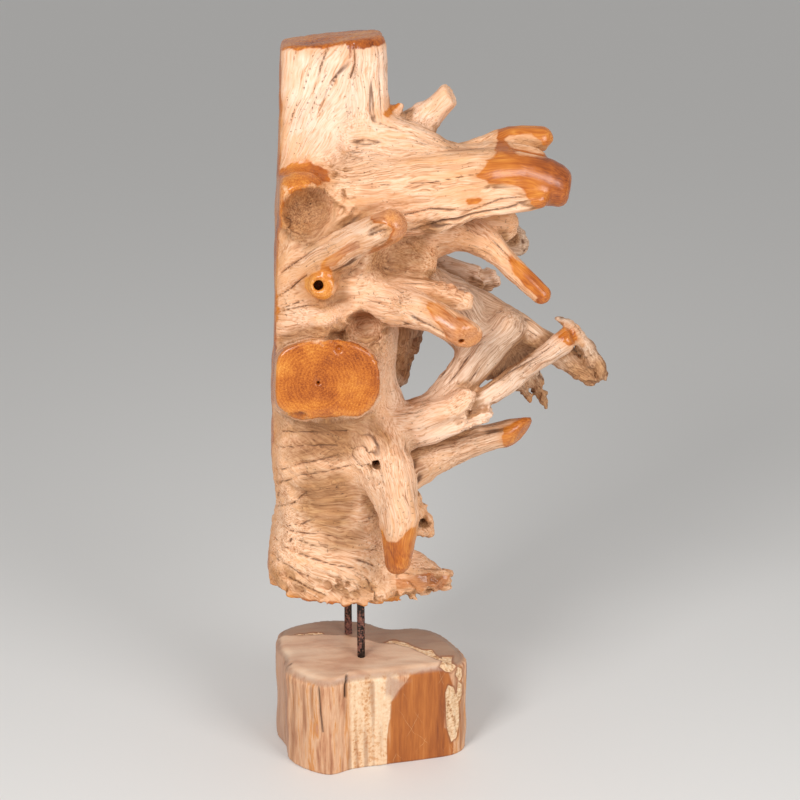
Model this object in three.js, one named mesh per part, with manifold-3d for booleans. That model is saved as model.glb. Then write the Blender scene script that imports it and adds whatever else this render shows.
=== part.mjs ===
// A teak root sculpture on its stand, in millimetres, +Z up.
// The root of a teak tree was sawn flat down one side and its limbs were cut short and rounded off.
// It stands on two steel rods that are set in a block of teak. The origin is on the floor under
// the block's middle, +X runs away from the sawn side and -Y is the side with the big round cut.
import * as THREE from 'three';
import { mergeVertices } from 'three/addons/utils/BufferGeometryUtils.js';
import Module from 'manifold-3d';

const wasm = await Module();
wasm.setup();

// Driving sizes.
const ROOT_HEIGHT = 1150;
const ROOT_AXIS_X = -6; // the line that the root's form is measured from, beside the block's middle
const STAND_GAP = 130; // free rod between the block and the root's underside
const BLOCK_WIDTH = 405;
const BLOCK_DEPTH = 300;
const BLOCK_HEIGHT = 220;
const BLOCK_EDGE = 16; // rounding of the block's upper edge
const ROD_DIAMETER = 17;
const ROD_SPACING = 126;
const ROD_LINE_ANGLE = 104; // degrees from +X to the line through both rods
const ROD_MIDDLE = [-33, 17];
const ROD_IN_BLOCK = 70;
const ROD_IN_ROOT = 110;
const HOLE_CLEARANCE = 0.5; // between a rod and the wall of its hole
const SEAT_CLEARANCE = 0.3; // between a rod's end and the floor of its hole
const ROD_SIDES = 16;

// The root's form is given in thousandths of its height, up from its underside.
// A limb or hollow is [x, y, z, radius] at each stop of its path. Its options are
//   thin: thickness over width, measured along face, which is the direction of its flat side
//   square: 2 for an oval section, more for a boxy one
//   cut: the direction that its last end faces where a saw took it off
const LIMBS = {
  crown: { path: [[-60, 20, 625, 105], [-55, 25, 745, 97], [-55, 25, 865, 90], [-55, 25, 980, 86]],
    thin: 0.72, face: [0, 1, 0], square: 4, cut: [-0.1, -0.05, 1] },
  ridge: { path: [[10, -20, 805, 36], [5, -20, 895, 32], [5, -15, 975, 27]], cut: [-0.1, -0.05, 1] },
  shoulder: { path: [[-25, 15, 795, 73], [45, 15, 815, 43], [100, 10, 805, 27]],
    thin: 0.8, face: [0, 1, 0] },
  trunk_middle: { path: [[-50, 15, 695, 108], [-50, 10, 540, 109], [-55, 10, 415, 104], [-55, 15, 285, 106]],
    thin: 1.1, face: [0, 1, 0], square: 3 },
  trunk_lower: { path: [[-55, 15, 300, 106], [-55, 20, 165, 104], [-60, 15, 85, 114], [-60, 10, 32, 118]],
    thin: 1.1, face: [0, 1, 0], square: 3, cut: [-0.12, 0.02, -1] },
  arm_top: { path: [[-25, 10, 750, 60], [95, 10, 750, 47], [195, 10, 780, 28],
    [245, 15, 812, 23], [293, 15, 816, 21]] },
  arm_middle: { path: [[-55, -45, 735, 49], [60, -60, 750, 49], [175, -60, 765, 45],
    [245, -50, 770, 41], [290, -45, 757, 37]] },
  arm_nose: { path: [[250, -45, 770, 39], [295, -45, 757, 37], [338, -45, 743, 30]],
    cut: [1, -0.1, -0.15] },
  arm_web: { path: [[150, -15, 775, 34], [235, -22, 790, 27], [282, -22, 790, 18]] },
  shoulder_web: { path: [[5, -30, 815, 48], [70, -28, 815, 40], [140, -22, 800, 32]], thin: 0.75, face: [0, 1, 0] },
  arm_low: { path: [[10, -50, 690, 36], [125, -80, 715, 28],
    [220, -85, 730, 19], [285, -80, 735, 15]] },
  under_arm: { path: [[-55, -15, 635, 57], [60, 0, 650, 50], [160, 15, 665, 34], [230, 25, 670, 29]] },
  branch: { path: [[50, 15, 795, 37], [90, 15, 835, 25], [148, 15, 890, 18]], cut: [0.9, -0.2, 0.3] },
  spur: { path: [[40, 0, 845, 23], [60, -10, 875, 5]] },
  ear: { path: [[220, 45, 650, 31], [255, 70, 635, 34]], thin: 0.5, face: [1, 0, 0.3] },
  finger: { path: [[125, 0, 675, 40], [190, -15, 655, 27], [245, -45, 615, 18], [295, -60, 570, 16]] },
  back_plate: { path: [[45, 95, 585, 38], [130, 105, 565, 32], [215, 105, 550, 21]],
    thin: 0.5, face: [0, 1, 0] },
  cheek: { path: [[-55, -20, 605, 57], [35, -25, 625, 44], [90, -40, 620, 30]] },
  ledge: { path: [[-30, -50, 575, 43], [60, -70, 575, 30], [125, -70, 570, 23], [165, -70, 560, 15]] },
  tongue: { path: [[-15, -50, 565, 50], [50, -90, 560, 36], [110, -130, 555, 26], [175, -165, 525, 23]],
    cut: [0.4, -0.85, -0.35] },
  back_root: { path: [[60, 25, 565, 55], [145, 35, 535, 38], [235, 35, 500, 29],
    [325, 35, 445, 23], [395, 35, 400, 19]] },
  hammer: { path: [[328, 14, 509, 2], [346, 14, 499, 7], [364, 14, 481, 12], [386, 15, 450, 14],
    [410, 17, 404, 14]] },
  stick: { path: [[130, -15, 335, 24], [205, -35, 380, 17], [275, -15, 425, 17], [355, 0, 480, 20]],
    cut: [1, -0.2, 0.5] },
  fork_long: { path: [[255, 50, 450, 32], [290, 60, 400, 19], [320, 70, 330, 4]] },
  fork_short: { path: [[245, 50, 430, 25], [270, 55, 380, 14], [290, 60, 345, 5]] },
  ring_right: { path: [[240, 10, 490, 34], [200, -10, 455, 34], [165, -15, 410, 31],
    [120, -25, 370, 22], [75, -25, 350, 21]] },
  ring_web: { path: [[150, 0, 525, 44], [200, 10, 460, 41], [215, 10, 425, 28]],
    thin: 0.6, face: [0, 1, 0] },
  ring_low: { path: [[-35, -35, 330, 41], [60, -50, 340, 29],
    [130, -55, 360, 24], [170, -60, 385, 19]] },
  ring_left: { path: [[-5, -50, 575, 40], [35, -40, 500, 19], [35, -35, 435, 14], [45, -35, 365, 24]] },
  strand: { path: [[25, -45, 305, 31], [130, -55, 330, 17], [205, -50, 355, 12]] },
  back_wall: { path: [[50, 70, 540, 52], [55, 85, 465, 42], [30, 85, 375, 36]],
    thin: 0.6, face: [0, 1, 0] },
  brow: { path: [[-125, -50, 530, 57], [-65, -95, 540, 36]] },
  disc: { path: [[-75, 0, 405, 104], [-65, -105, 435, 97], [-60, -200, 465, 88]],
    thin: 0.74, face: [0, 0.2, 1], square: 2.4, cut: [0.08, -1, 0.1] },
  stub: { path: [[-145, -35, 585, 37], [-50, -115, 650, 32], [45, -190, 715, 27]] },
  knot: { path: [[-65, -85, 600, 30], [-65, -145, 605, 21]], cut: [-0.1, -1, 0.1] },
  scoop: { path: [[-105, -10, 695, 73], [-100, -95, 735, 48]] },
  leg: { path: [[-5, -35, 320, 66], [35, -95, 275, 49], [55, -140, 205, 37], [55, -165, 135, 25]] },
  low_limb: { path: [[60, -10, 240, 49], [140, 0, 270, 30], [215, 10, 290, 23], [281, 15, 300, 25]],
    cut: [0.8, -0.2, -0.55] },
  foot: { path: [[-5, -15, 65, 60], [80, -50, 55, 39], [140, -50, 45, 18]] },
  jag: { path: [[70, 0, 165, 36], [95, 0, 135, 20], [110, 0, 115, 9]] },
  rear_rib: { path: [[-90, 115, 90, 55], [-75, 130, 320, 75], [-70, 115, 585, 65]],
    thin: 0.9, face: [0, 1, 0] },
  rear_arm: { path: [[-30, 105, 605, 60], [10, 185, 670, 46], [45, 225, 695, 36]] },
  rear_stub: { path: [[-75, 85, 750, 58], [-95, 155, 805, 42]], cut: [-0.1, 0.8, 0.4] },
  rear_horn: { path: [[-70, 120, 285, 58], [-40, 200, 340, 41], [-30, 245, 375, 24]] },
  rear_foot: { path: [[-70, 85, 100, 70], [-65, 175, 85, 45]] },
};
const HOLLOWS = {
  scoop_bowl: { path: [[-90, -180, 712, 49], [-88, -112, 722, 40]] },
  cheek_bowl: { path: [[38, -150, 640, 34], [50, -98, 638, 30]] },
  broken_tube: { path: [[0, -140, 536, 24], [2, -26, 502, 31]] },
  slit: { path: [[-56, -174, 528, 6], [-42, -104, 508, 10], [-24, -174, 532, 6]] },
  waist: { path: [[-54, -208, 340, 55], [-42, -196, 248, 76], [-32, -204, 152, 67]] },
  knot_hole: { path: [[-68, -192, 620, 9], [-74, -96, 596, 8]] },
};
// One plane of the saw, down the whole left side.
const SAWN_FACE = {
  point: [-156, -43, 435],
  normal: [-1, -0.094, 0.052],
};

// The block's outline seen from above, anticlockwise from its right end, in thousandths of its width and depth.
const BLOCK_OUTLINE = [
  [500, -60], [400, 240], [280, 390], [110, 380], [-60, 500], [-290, 495], [-475, 340], [-490, 60],
  [-445, -110], [-400, -330], [-220, -500], [-60, -415], [280, -300], [455, -215],
];

const MM = ROOT_HEIGHT / 1000;
const ROOT_BASE = BLOCK_HEIGHT + STAND_GAP;
const RINGS_PER_STOP = 2;
const TIP_RINGS = 2;
const SAW_OVERRUN = 1.3; // radii that a limb runs on past its sawn end, until the saw takes it off
const BLOCK_STEPS = 48;
const CORNER_REACH = 0.001; // corners this close to each other are one

// A closed geometry becomes a solid once its corners are shared and its empty triangles are gone.
function toSolid(geometry) {
  geometry.deleteAttribute('normal');
  geometry.deleteAttribute('uv');
  const shared = mergeVertices(geometry, CORNER_REACH);
  const corners = shared.index.array;
  const triangles = [];
  for (let i = 0; i < corners.length; i += 3) {
    const [a, b, c] = corners.slice(i, i + 3);
    if (a !== b && b !== c && c !== a) triangles.push(a, b, c);
  }
  return new wasm.Manifold(new wasm.Mesh({
    numProp: 3,
    vertProperties: new Float32Array(shared.attributes.position.array),
    triVerts: new Uint32Array(triangles),
  }));
}

function toGeometry(solid) {
  const mesh = solid.getMesh();
  const geometry = new THREE.BufferGeometry();
  geometry.setAttribute('position', new THREE.BufferAttribute(mesh.vertProperties, 3));
  geometry.setIndex(new THREE.BufferAttribute(mesh.triVerts, 1));
  geometry.computeVertexNormals();
  return geometry;
}

// Where two limbs nearly touch, a cut can leave a crumb beside the root. Only the root is kept.
function largestBody(solid) {
  const bodies = toSolid(toGeometry(solid)).decompose();
  return bodies.reduce((most, body) => (body.volume() > most.volume() ? body : most));
}

// A place in the root's own thousandths, in millimetres from the floor.
function place([x, y, z]) {
  return new THREE.Vector3(x * MM + ROOT_AXIS_X, y * MM, z * MM + ROOT_BASE);
}

function smoothCurve(points) {
  return new THREE.CatmullRomCurve3(points, false, 'catmullrom', 0.5);
}

// A box as big as the root, with one side through a point, that takes off all that lies beyond.
function sawCut(point, normal) {
  const box = new THREE.BoxGeometry(2 * ROOT_HEIGHT, 2 * ROOT_HEIGHT, 2 * ROOT_HEIGHT);
  box.translate(0, 0, ROOT_HEIGHT);
  const away = new THREE.Vector3(...normal).normalize();
  box.applyQuaternion(new THREE.Quaternion().setFromUnitVectors(new THREE.Vector3(0, 0, 1), away));
  box.translate(point.x, point.y, point.z);
  return toSolid(box);
}

// The axis that a path follows least, so that it can steady the path's cross-sections.
function steadyAxis(run) {
  const sizes = run.toArray().map(Math.abs);
  const axis = [0, 0, 0];
  axis[sizes.indexOf(Math.min(...sizes))] = 1;
  return axis;
}

// A capsule bent along the limb's path: its rounded ends become the limb's tips.
function limbSolid({ path, thin = 1, face, square = 2, cut }) {
  const places = path.map(place);
  const radii = path.map((stop) => stop[3] * MM);
  const end = places.at(-1);
  if (cut) {
    const onward = end.clone().sub(places.at(-2)).setLength(SAW_OVERRUN * radii.at(-1));
    places.push(end.clone().add(onward));
    radii.push(radii.at(-1));
  }
  const spine = smoothCurve(places);
  const girth = smoothCurve(radii.map((radius) => new THREE.Vector3(radius, 0, 0)));
  const steady = new THREE.Vector3(...(face ?? steadyAxis(end.clone().sub(places[0]))));
  const sides = Math.max(8, 2 * Math.ceil(Math.max(...radii) / 16));
  const polygon = Math.sqrt((2 * Math.PI) / (sides * Math.sin((2 * Math.PI) / sides)));
  const rings = RINGS_PER_STOP * (places.length - 1);
  const geometry = new THREE.CapsuleGeometry(1, rings, TIP_RINGS, sides, rings);
  const corner = new THREE.Vector3();
  const positions = geometry.attributes.position;
  for (let i = 0; i < positions.count; i += 1) {
    corner.fromBufferAttribute(positions, i);
    const along = THREE.MathUtils.clamp(corner.y, -rings / 2, rings / 2);
    const share = along / rings + 0.5;
    const radius = girth.getPoint(share).x;
    const ahead = spine.getTangent(share);
    const thick = steady.clone().addScaledVector(ahead, -steady.dot(ahead)).normalize();
    const wide = new THREE.Vector3().crossVectors(ahead, thick);
    const angle = Math.atan2(corner.z, corner.x);
    const boxy = (Math.abs(Math.cos(angle)) ** square + Math.abs(Math.sin(angle)) ** square) ** (-1 / square);
    const reach = radius * polygon * boxy;
    const bent = spine.getPoint(share)
      .addScaledVector(ahead, (corner.y - along) * radius)
      .addScaledVector(wide, corner.x * reach)
      .addScaledVector(thick, corner.z * reach * thin);
    positions.setXYZ(i, bent.x, bent.y, bent.z);
  }
  const solid = toSolid(geometry);
  return cut ? solid.subtract(sawCut(end, cut)) : solid;
}

// A rod, or with the clearances its hole, from one height to another.
function rodSolid([x, y], from, to, diameter) {
  const rod = new THREE.CylinderGeometry(diameter / 2, diameter / 2, to - from, ROD_SIDES);
  rod.rotateX(Math.PI / 2);
  rod.translate(x, y, (from + to) / 2);
  return toSolid(rod);
}

const rodLine = THREE.MathUtils.degToRad(ROD_LINE_ANGLE);
const rodPlaces = {
  front_rod: -ROD_SPACING / 2,
  rear_rod: ROD_SPACING / 2,
};
const rodFrom = BLOCK_HEIGHT - ROD_IN_BLOCK;
const rodTo = ROOT_BASE + ROD_IN_ROOT;
const rods = {};
let rodHoles = null;
for (const [name, offset] of Object.entries(rodPlaces)) {
  const at = [ROD_MIDDLE[0] + Math.cos(rodLine) * offset, ROD_MIDDLE[1] + Math.sin(rodLine) * offset];
  rods[name] = rodSolid(at, rodFrom, rodTo, ROD_DIAMETER);
  const bore = ROD_DIAMETER + 2 * HOLE_CLEARANCE;
  const hole = rodSolid(at, rodFrom - SEAT_CLEARANCE, rodTo + SEAT_CLEARANCE, bore);
  rodHoles = rodHoles ? rodHoles.add(hole) : hole;
}

function teakRoot() {
  let root = null;
  for (const limb of Object.values(LIMBS)) {
    const solid = limbSolid(limb);
    root = root ? root.add(solid) : solid;
  }
  for (const hollow of Object.values(HOLLOWS)) root = root.subtract(limbSolid(hollow));
  root = root.subtract(sawCut(place(SAWN_FACE.point), SAWN_FACE.normal));
  root = root.subtract(rodHoles);
  return largestBody(root);
}

// The block is a slice of trunk: its outline swept upward, with a rounded upper edge and a sawn underside.
function standBlock() {
  const points = BLOCK_OUTLINE.map(([x, y]) => new THREE.Vector3(x, y, 0));
  const outline = new THREE.CatmullRomCurve3(points, true, 'catmullrom', 0.5).getPoints(BLOCK_STEPS).slice(0, -1);
  const box = new THREE.Box3().setFromPoints(outline);
  const size = box.getSize(new THREE.Vector3());
  const middle = box.getCenter(new THREE.Vector3());
  const shape = new THREE.Shape(outline.map(({ x, y }) => new THREE.Vector2(
    ((x - middle.x) / size.x) * BLOCK_WIDTH,
    ((y - middle.y) / size.y) * BLOCK_DEPTH,
  )));
  const block = toSolid(new THREE.ExtrudeGeometry(shape, {
    depth: BLOCK_HEIGHT - BLOCK_EDGE,
    bevelThickness: BLOCK_EDGE,
    bevelSize: BLOCK_EDGE,
    bevelOffset: -BLOCK_EDGE,
    bevelSegments: 3,
  }));
  return block.subtract(sawCut(new THREE.Vector3(0, 0, 0), [0, 0, -1])).subtract(rodHoles);
}

const rawTeak = new THREE.MeshStandardMaterial({ color: 0xe0b58a, roughness: 0.6 });
const agedTeak = new THREE.MeshStandardMaterial({ color: 0xb58a62, roughness: 0.55 });
const rustySteel = new THREE.MeshStandardMaterial({ color: 0x3d3431, roughness: 0.5, metalness: 0.9 });

const sculpture = new THREE.Group();
function addPiece(name, solid, material) {
  const mesh = new THREE.Mesh(toGeometry(solid), material);
  mesh.name = name;
  sculpture.add(mesh);
}

addPiece('teak_root', teakRoot(), rawTeak);
for (const [name, rod] of Object.entries(rods)) addPiece(name, rod, rustySteel);
addPiece('stand_block', standBlock(), agedTeak);

export default sculpture;
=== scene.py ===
# %% [markdown]
# # A teak root sculpture on its stand
# A teak root was dug up, washed and sawn flat down one side. Its limbs were cut short, their ends were
# rounded and oiled, and the rest was left raw. Two steel rods hold it over a slice of teak trunk.
# This script dresses the three kinds of piece: the root, the rods and the block. It reads the solid
# model first, because every place below is measured from it.

# %% Load the solid model
import math
import bpy
import numpy as np
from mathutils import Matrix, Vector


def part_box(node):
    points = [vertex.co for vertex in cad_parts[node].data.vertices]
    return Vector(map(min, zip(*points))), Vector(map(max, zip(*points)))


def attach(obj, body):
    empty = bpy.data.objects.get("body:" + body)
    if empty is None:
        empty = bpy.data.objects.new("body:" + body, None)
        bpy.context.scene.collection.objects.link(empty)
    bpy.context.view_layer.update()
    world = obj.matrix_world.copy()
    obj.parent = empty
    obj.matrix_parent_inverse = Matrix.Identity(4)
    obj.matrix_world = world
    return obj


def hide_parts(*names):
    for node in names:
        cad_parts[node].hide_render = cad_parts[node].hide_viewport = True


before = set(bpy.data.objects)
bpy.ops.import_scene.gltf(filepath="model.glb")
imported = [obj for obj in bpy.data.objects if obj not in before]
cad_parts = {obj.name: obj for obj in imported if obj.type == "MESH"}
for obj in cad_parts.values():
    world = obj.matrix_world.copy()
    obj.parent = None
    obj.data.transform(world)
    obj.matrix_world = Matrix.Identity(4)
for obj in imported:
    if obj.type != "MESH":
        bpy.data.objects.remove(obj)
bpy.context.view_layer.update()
print("solids:", ", ".join(sorted(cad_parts)))

# %% [markdown]
# ## Sizes
# The root's form is told in thousandths of its height, so that its limbs read as they do on a drawing.
# One thousandth is 1.15 mm. The level that the form is measured from lies one rod gap above the block's
# top, and the solid model says where that is.

# %% Sizes from the solid model
FULL_TURN = 2 * math.pi
block_low, block_high = (np.array(corner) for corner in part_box("stand_block"))
root_low, root_high = (np.array(corner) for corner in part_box("teak_root"))
ROD_GAP = 0.130
ROOT_HEIGHT = 1.150
ROOT_AXIS = np.array([-0.006, 0.0, block_high[2] + ROD_GAP])
SHARE = ROOT_HEIGHT / 1000
print("root stands from", np.round(root_low[2], 3), "to", np.round(root_high[2], 3), "m")

# %% [markdown]
# ## The limbs
# A root branches where it met stones and other roots, so no two limbs are alike and each is given by a
# few stops along its middle: x, y, z and radius. A flat limb says how thin it is and which way its flat
# side faces, and a squarer one has a power above 2. A sawn limb says which way its sawn end faces. The
# blend is how softly, in millimetres, it grows out of what was there before it. Where the grain doesn't
# follow the limb it spreads like a fan from one point, x and z, and the pith is how far the middle of the
# growth rings lies off the limb's middle.

# %% Limbs, hollows and the long saw cut
LIMBS = {
    "crown": dict(
        path=[(-60, 20, 625, 105), (-55, 25, 745, 97), (-55, 25, 865, 90), (-55, 25, 980, 86)], thin=0.72,
        face=(0, 1, 0), square=4, cut=(-0.1, -0.05, 1), blend=30, fan=(-190, 640)),
    "ridge": dict(
        path=[(10, -20, 805, 36), (5, -20, 895, 32), (5, -15, 975, 27)], cut=(-0.1, -0.05, 1), blend=24),
    "shoulder": dict(
        path=[(-25, 15, 795, 73), (45, 15, 813, 43), (92, 10, 797, 27)], thin=0.8, face=(0, 1, 0)),
    "trunk_middle": dict(
        path=[(-50, 15, 695, 108), (-50, 10, 540, 109), (-55, 10, 415, 104), (-55, 15, 285, 106)],
        thin=1.1, face=(0, 1, 0), square=3, blend=30, fan=(-420, 500)),
    "trunk_lower": dict(
        path=[(-55, 15, 300, 106), (-55, 20, 165, 104), (-60, 15, 85, 114), (-60, 10, 32, 118)], thin=1.1,
        face=(0, 1, 0), square=3, cut=(-0.12, 0.02, -1), blend=30, fan=(-330, 195)),
    "arm_top": dict(
        path=[(-25, 10, 750, 60), (95, 10, 750, 48), (190, 10, 786, 33), (245, 15, 813, 24),
        (293, 15, 816, 21)], blend=16),
    "arm_middle": dict(
        path=[(-55, -45, 735, 49), (60, -60, 750, 49), (175, -60, 765, 45), (245, -50, 770, 41),
        (290, -45, 757, 37)], blend=16),
    "arm_nose": dict(
        path=[(250, -45, 770, 39), (295, -45, 757, 37), (338, -45, 743, 30)], cut=(1, -0.1, -0.15),
        cut_round=20, blend=10),
    "arm_web": dict(path=[(150, -15, 775, 34), (235, -22, 790, 27), (282, -22, 790, 18)], blend=12),
    "shoulder_web": dict(
        path=[(5, -30, 815, 48), (70, -28, 810, 40), (137, -24, 782, 32)], thin=0.75, face=(0, 1, 0),
        blend=24),
    "arm_low": dict(
        path=[(10, -50, 690, 36), (125, -80, 715, 28), (220, -85, 730, 19), (285, -80, 735, 15)], blend=12),
    "under_arm": dict(
        path=[(-55, -15, 635, 57), (60, 0, 650, 50), (160, 15, 665, 34), (230, 25, 670, 29)], blend=24),
    "branch": dict(
        path=[(56, 12, 788, 44), (91, 15, 839, 31), (114, 15, 864, 22), (144, 15, 890, 20)],
        cut=(0.8, -0.25, 0.5), cut_round=8, blend=16),
    "spur": dict(path=[(40, 0, 845, 23), (60, -10, 875, 5)], blend=14),
    "ear": dict(path=[(220, 45, 650, 31), (255, 70, 635, 34)], thin=0.5, face=(1, 0, 0.3), blend=12),
    "finger": dict(
        path=[(125, 0, 675, 40), (190, -15, 655, 27), (245, -45, 615, 18), (295, -60, 570, 16)], blend=14),
    "back_plate": dict(
        path=[(45, 95, 585, 38), (130, 105, 565, 32), (215, 105, 550, 21)], thin=0.5, face=(0, 1, 0),
        blend=16),
    "cheek": dict(path=[(-55, -20, 605, 57), (35, -25, 625, 44), (90, -40, 620, 30)], blend=24),
    "ledge": dict(
        path=[(-30, -50, 575, 43), (60, -70, 575, 30), (125, -70, 570, 23), (165, -70, 560, 15)], blend=16),
    "tongue": dict(
        path=[(-15, -50, 565, 50), (50, -90, 560, 36), (110, -130, 555, 26), (175, -165, 525, 23)],
        cut=(0.4, -0.85, -0.35), blend=14),
    "back_root": dict(
        path=[(60, 25, 565, 55), (145, 35, 535, 38), (235, 35, 500, 29), (325, 35, 445, 23),
        (395, 35, 400, 19)], blend=14),
    "hammer": dict(
        path=[(328, 14, 509, 2), (346, 14, 499, 7), (364, 14, 481, 12), (386, 15, 450, 14),
        (410, 17, 404, 14)], blend=8),
    "stick": dict(
        path=[(130, -15, 335, 24), (205, -35, 380, 17), (275, -15, 425, 17), (355, 0, 480, 20)],
        cut=(1, -0.2, 0.5), blend=8),
    "fork_long": dict(path=[(255, 50, 450, 32), (290, 60, 400, 19), (320, 70, 330, 4)], blend=8),
    "fork_short": dict(path=[(245, 50, 430, 25), (270, 55, 380, 14), (290, 60, 345, 5)], blend=8),
    "ring_right": dict(
        path=[(240, 10, 490, 34), (200, -10, 455, 34), (165, -15, 410, 31), (120, -25, 370, 22),
        (75, -25, 350, 21)], blend=14),
    "ring_web": dict(
        path=[(150, 0, 525, 44), (200, 10, 460, 41), (215, 10, 425, 28)], thin=0.6, face=(0, 1, 0),
        blend=16),
    "ring_low": dict(
        path=[(-35, -35, 330, 41), (60, -50, 340, 29), (130, -55, 360, 24), (170, -60, 385, 19)], blend=14),
    "ring_left": dict(
        path=[(-5, -50, 575, 40), (35, -40, 500, 19), (35, -35, 435, 14), (45, -35, 365, 24)], blend=12),
    "strand": dict(path=[(25, -45, 305, 31), (130, -55, 330, 17), (205, -50, 355, 12)], blend=10),
    "back_wall": dict(
        path=[(50, 70, 545, 52), (58, 80, 502, 46), (54, 85, 460, 41), (30, 85, 375, 36)], thin=0.6,
        face=(0, 1, 0), blend=16),
    "brow": dict(path=[(-125, -50, 530, 57), (-65, -95, 540, 36)], blend=24),
    "disc": dict(
        path=[(-75, 0, 405, 104), (-65, -105, 435, 97), (-60, -200, 465, 88)], thin=0.74,
        face=(0, 0.2, 1), square=2.4, cut=(0.08, -1, 0.1), cut_round=6, blend=14, pith=(-3, 13)),
    "stub": dict(path=[(-145, -35, 585, 37), (-50, -115, 650, 32), (45, -190, 715, 27)], blend=16),
    "knot": dict(path=[(-65, -85, 600, 30), (-65, -145, 605, 21)], cut=(-0.1, -1, 0.1), blend=12),
    "scoop": dict(path=[(-105, -10, 695, 73), (-100, -95, 735, 48)], blend=16),
    "leg": dict(
        path=[(-5, -35, 320, 66), (35, -95, 275, 49), (55, -140, 205, 37), (55, -165, 135, 25)], blend=20),
    "low_limb": dict(
        path=[(60, -10, 240, 49), (140, 0, 270, 30), (215, 10, 290, 24), (277, 14, 300, 25)],
        cut=(0.75, -0.55, -0.37), cut_round=16, blend=16),
    "foot": dict(path=[(-5, -15, 65, 60), (80, -50, 55, 39), (140, -50, 45, 18)], blend=20),
    "jag": dict(path=[(70, 0, 165, 36), (95, 0, 135, 20), (110, 0, 115, 9)], blend=12),
    "rear_rib": dict(
        path=[(-90, 115, 90, 55), (-75, 130, 320, 75), (-70, 115, 585, 65)], thin=0.9, face=(0, 1, 0),
        blend=30),
    "rear_arm": dict(path=[(-30, 105, 605, 60), (10, 185, 670, 46), (45, 225, 695, 36)], blend=18),
    "rear_stub": dict(path=[(-75, 85, 750, 58), (-95, 155, 805, 42)], cut=(-0.1, 0.8, 0.4), blend=20),
    "rear_horn": dict(path=[(-70, 120, 285, 58), (-40, 200, 340, 41), (-30, 245, 375, 24)], blend=18),
    "rear_foot": dict(path=[(-70, 85, 100, 70), (-65, 175, 85, 45)], blend=24),
}
HOLLOWS = {
    "scoop_bowl": dict(path=[(-90, -180, 712, 49), (-88, -112, 722, 40)], blend=14),
    "cheek_bowl": dict(path=[(38, -150, 640, 34), (50, -98, 638, 30)], blend=24),
    "broken_tube": dict(path=[(0, -140, 536, 24), (1, -86, 520, 27)], blend=8),
    "slit": dict(path=[(-56, -174, 528, 6), (-42, -104, 508, 10), (-24, -174, 532, 6)], blend=6),
    "waist": dict(path=[(-54, -208, 340, 55), (-42, -196, 248, 76), (-32, -204, 152, 67)], blend=36),
    "knot_hole": dict(path=[(-68, -192, 620, 9), (-74, -96, 596, 8)], blend=4),
}
SAWN_FACE = dict(point=(-156, -43, 435), normal=(-1, -0.094, 0.052), round=8)
print(len(LIMBS), "limbs and", len(HOLLOWS), "hollows")

# %% [markdown]
# ## From limbs to one skin
# A sculptor's software would let these limbs melt together as clay does. The same can be had with plain
# arithmetic: for each point of a fine grid, note how far it lies outside or inside the nearest limb, and
# let two limbs' distances round into each other. The skin is where that distance is zero. Joining
# separate tubes with a boolean would leave a hard crease at every fork, which no root has.

# %% Places along one limb
PAST_THE_CUT = 1.3


def unit(vector):
    vector = np.asarray(vector, float)
    return vector / np.linalg.norm(vector)


def curve_point(a, b, c, d, t):
    """A place between stops b and c of a smooth curve through a, b, c and d."""
    bend, twist = 2 * a - 5 * b + 4 * c - d, 3 * b - a - 3 * c + d
    return 0.5 * (2 * b + (c - a) * t + bend * t ** 2 + twist * t ** 3)


def smooth_path(path, steps=3):
    """Points, with their radius, on a smooth curve through a limb's stops."""
    stops = np.array(path, float) * SHARE
    stops[:, :3] += ROOT_AXIS
    if len(stops) < 3:
        share = np.linspace(0, 1, steps + 1)[:, None]
        return stops[0] + (stops[-1] - stops[0]) * share
    stops = np.vstack([2 * stops[0] - stops[1], stops, 2 * stops[-1] - stops[-2]])
    points = []
    for i in range(1, len(stops) - 2):
        for t in np.arange(steps) / steps:
            points.append(curve_point(*stops[i - 1:i + 3], t))
    points.append(stops[-2])
    return np.array(points)


def limb_spine(limb):
    """The limb's points, run on past its saw cut by a little more than its radius."""
    points = smooth_path(limb["path"])
    if "cut" in limb:
        onward = points[-1].copy()
        onward[:3] += unit(points[-1][:3] - points[-2][:3]) * points[-1][3] * PAST_THE_CUT
        points = np.vstack([points, onward])
    return points


def steady_axis(run):
    """The axis that a round limb runs along the least, so that its sides never flip over."""
    axis = np.zeros(3)
    axis[np.argmin(np.abs(run))] = 1
    return axis


def limb_segments(limb):
    """Yields the straight stretches of a limb: ends, length, three directions and the length before."""
    points = limb_spine(limb)
    face = np.array(limb.get("face", steady_axis(points[-1][:3] - points[0][:3])), float)
    travelled = 0.0
    for start, end in zip(points[:-1], points[1:]):
        run = end[:3] - start[:3]
        length = np.linalg.norm(run)
        ahead = run / length
        thick = unit(face - ahead * face.dot(ahead))
        yield start, end, length, ahead, thick, np.cross(ahead, thick), travelled
        travelled += length


print("the crown has", len(limb_spine(LIMBS["crown"])), "points along it")


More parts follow.
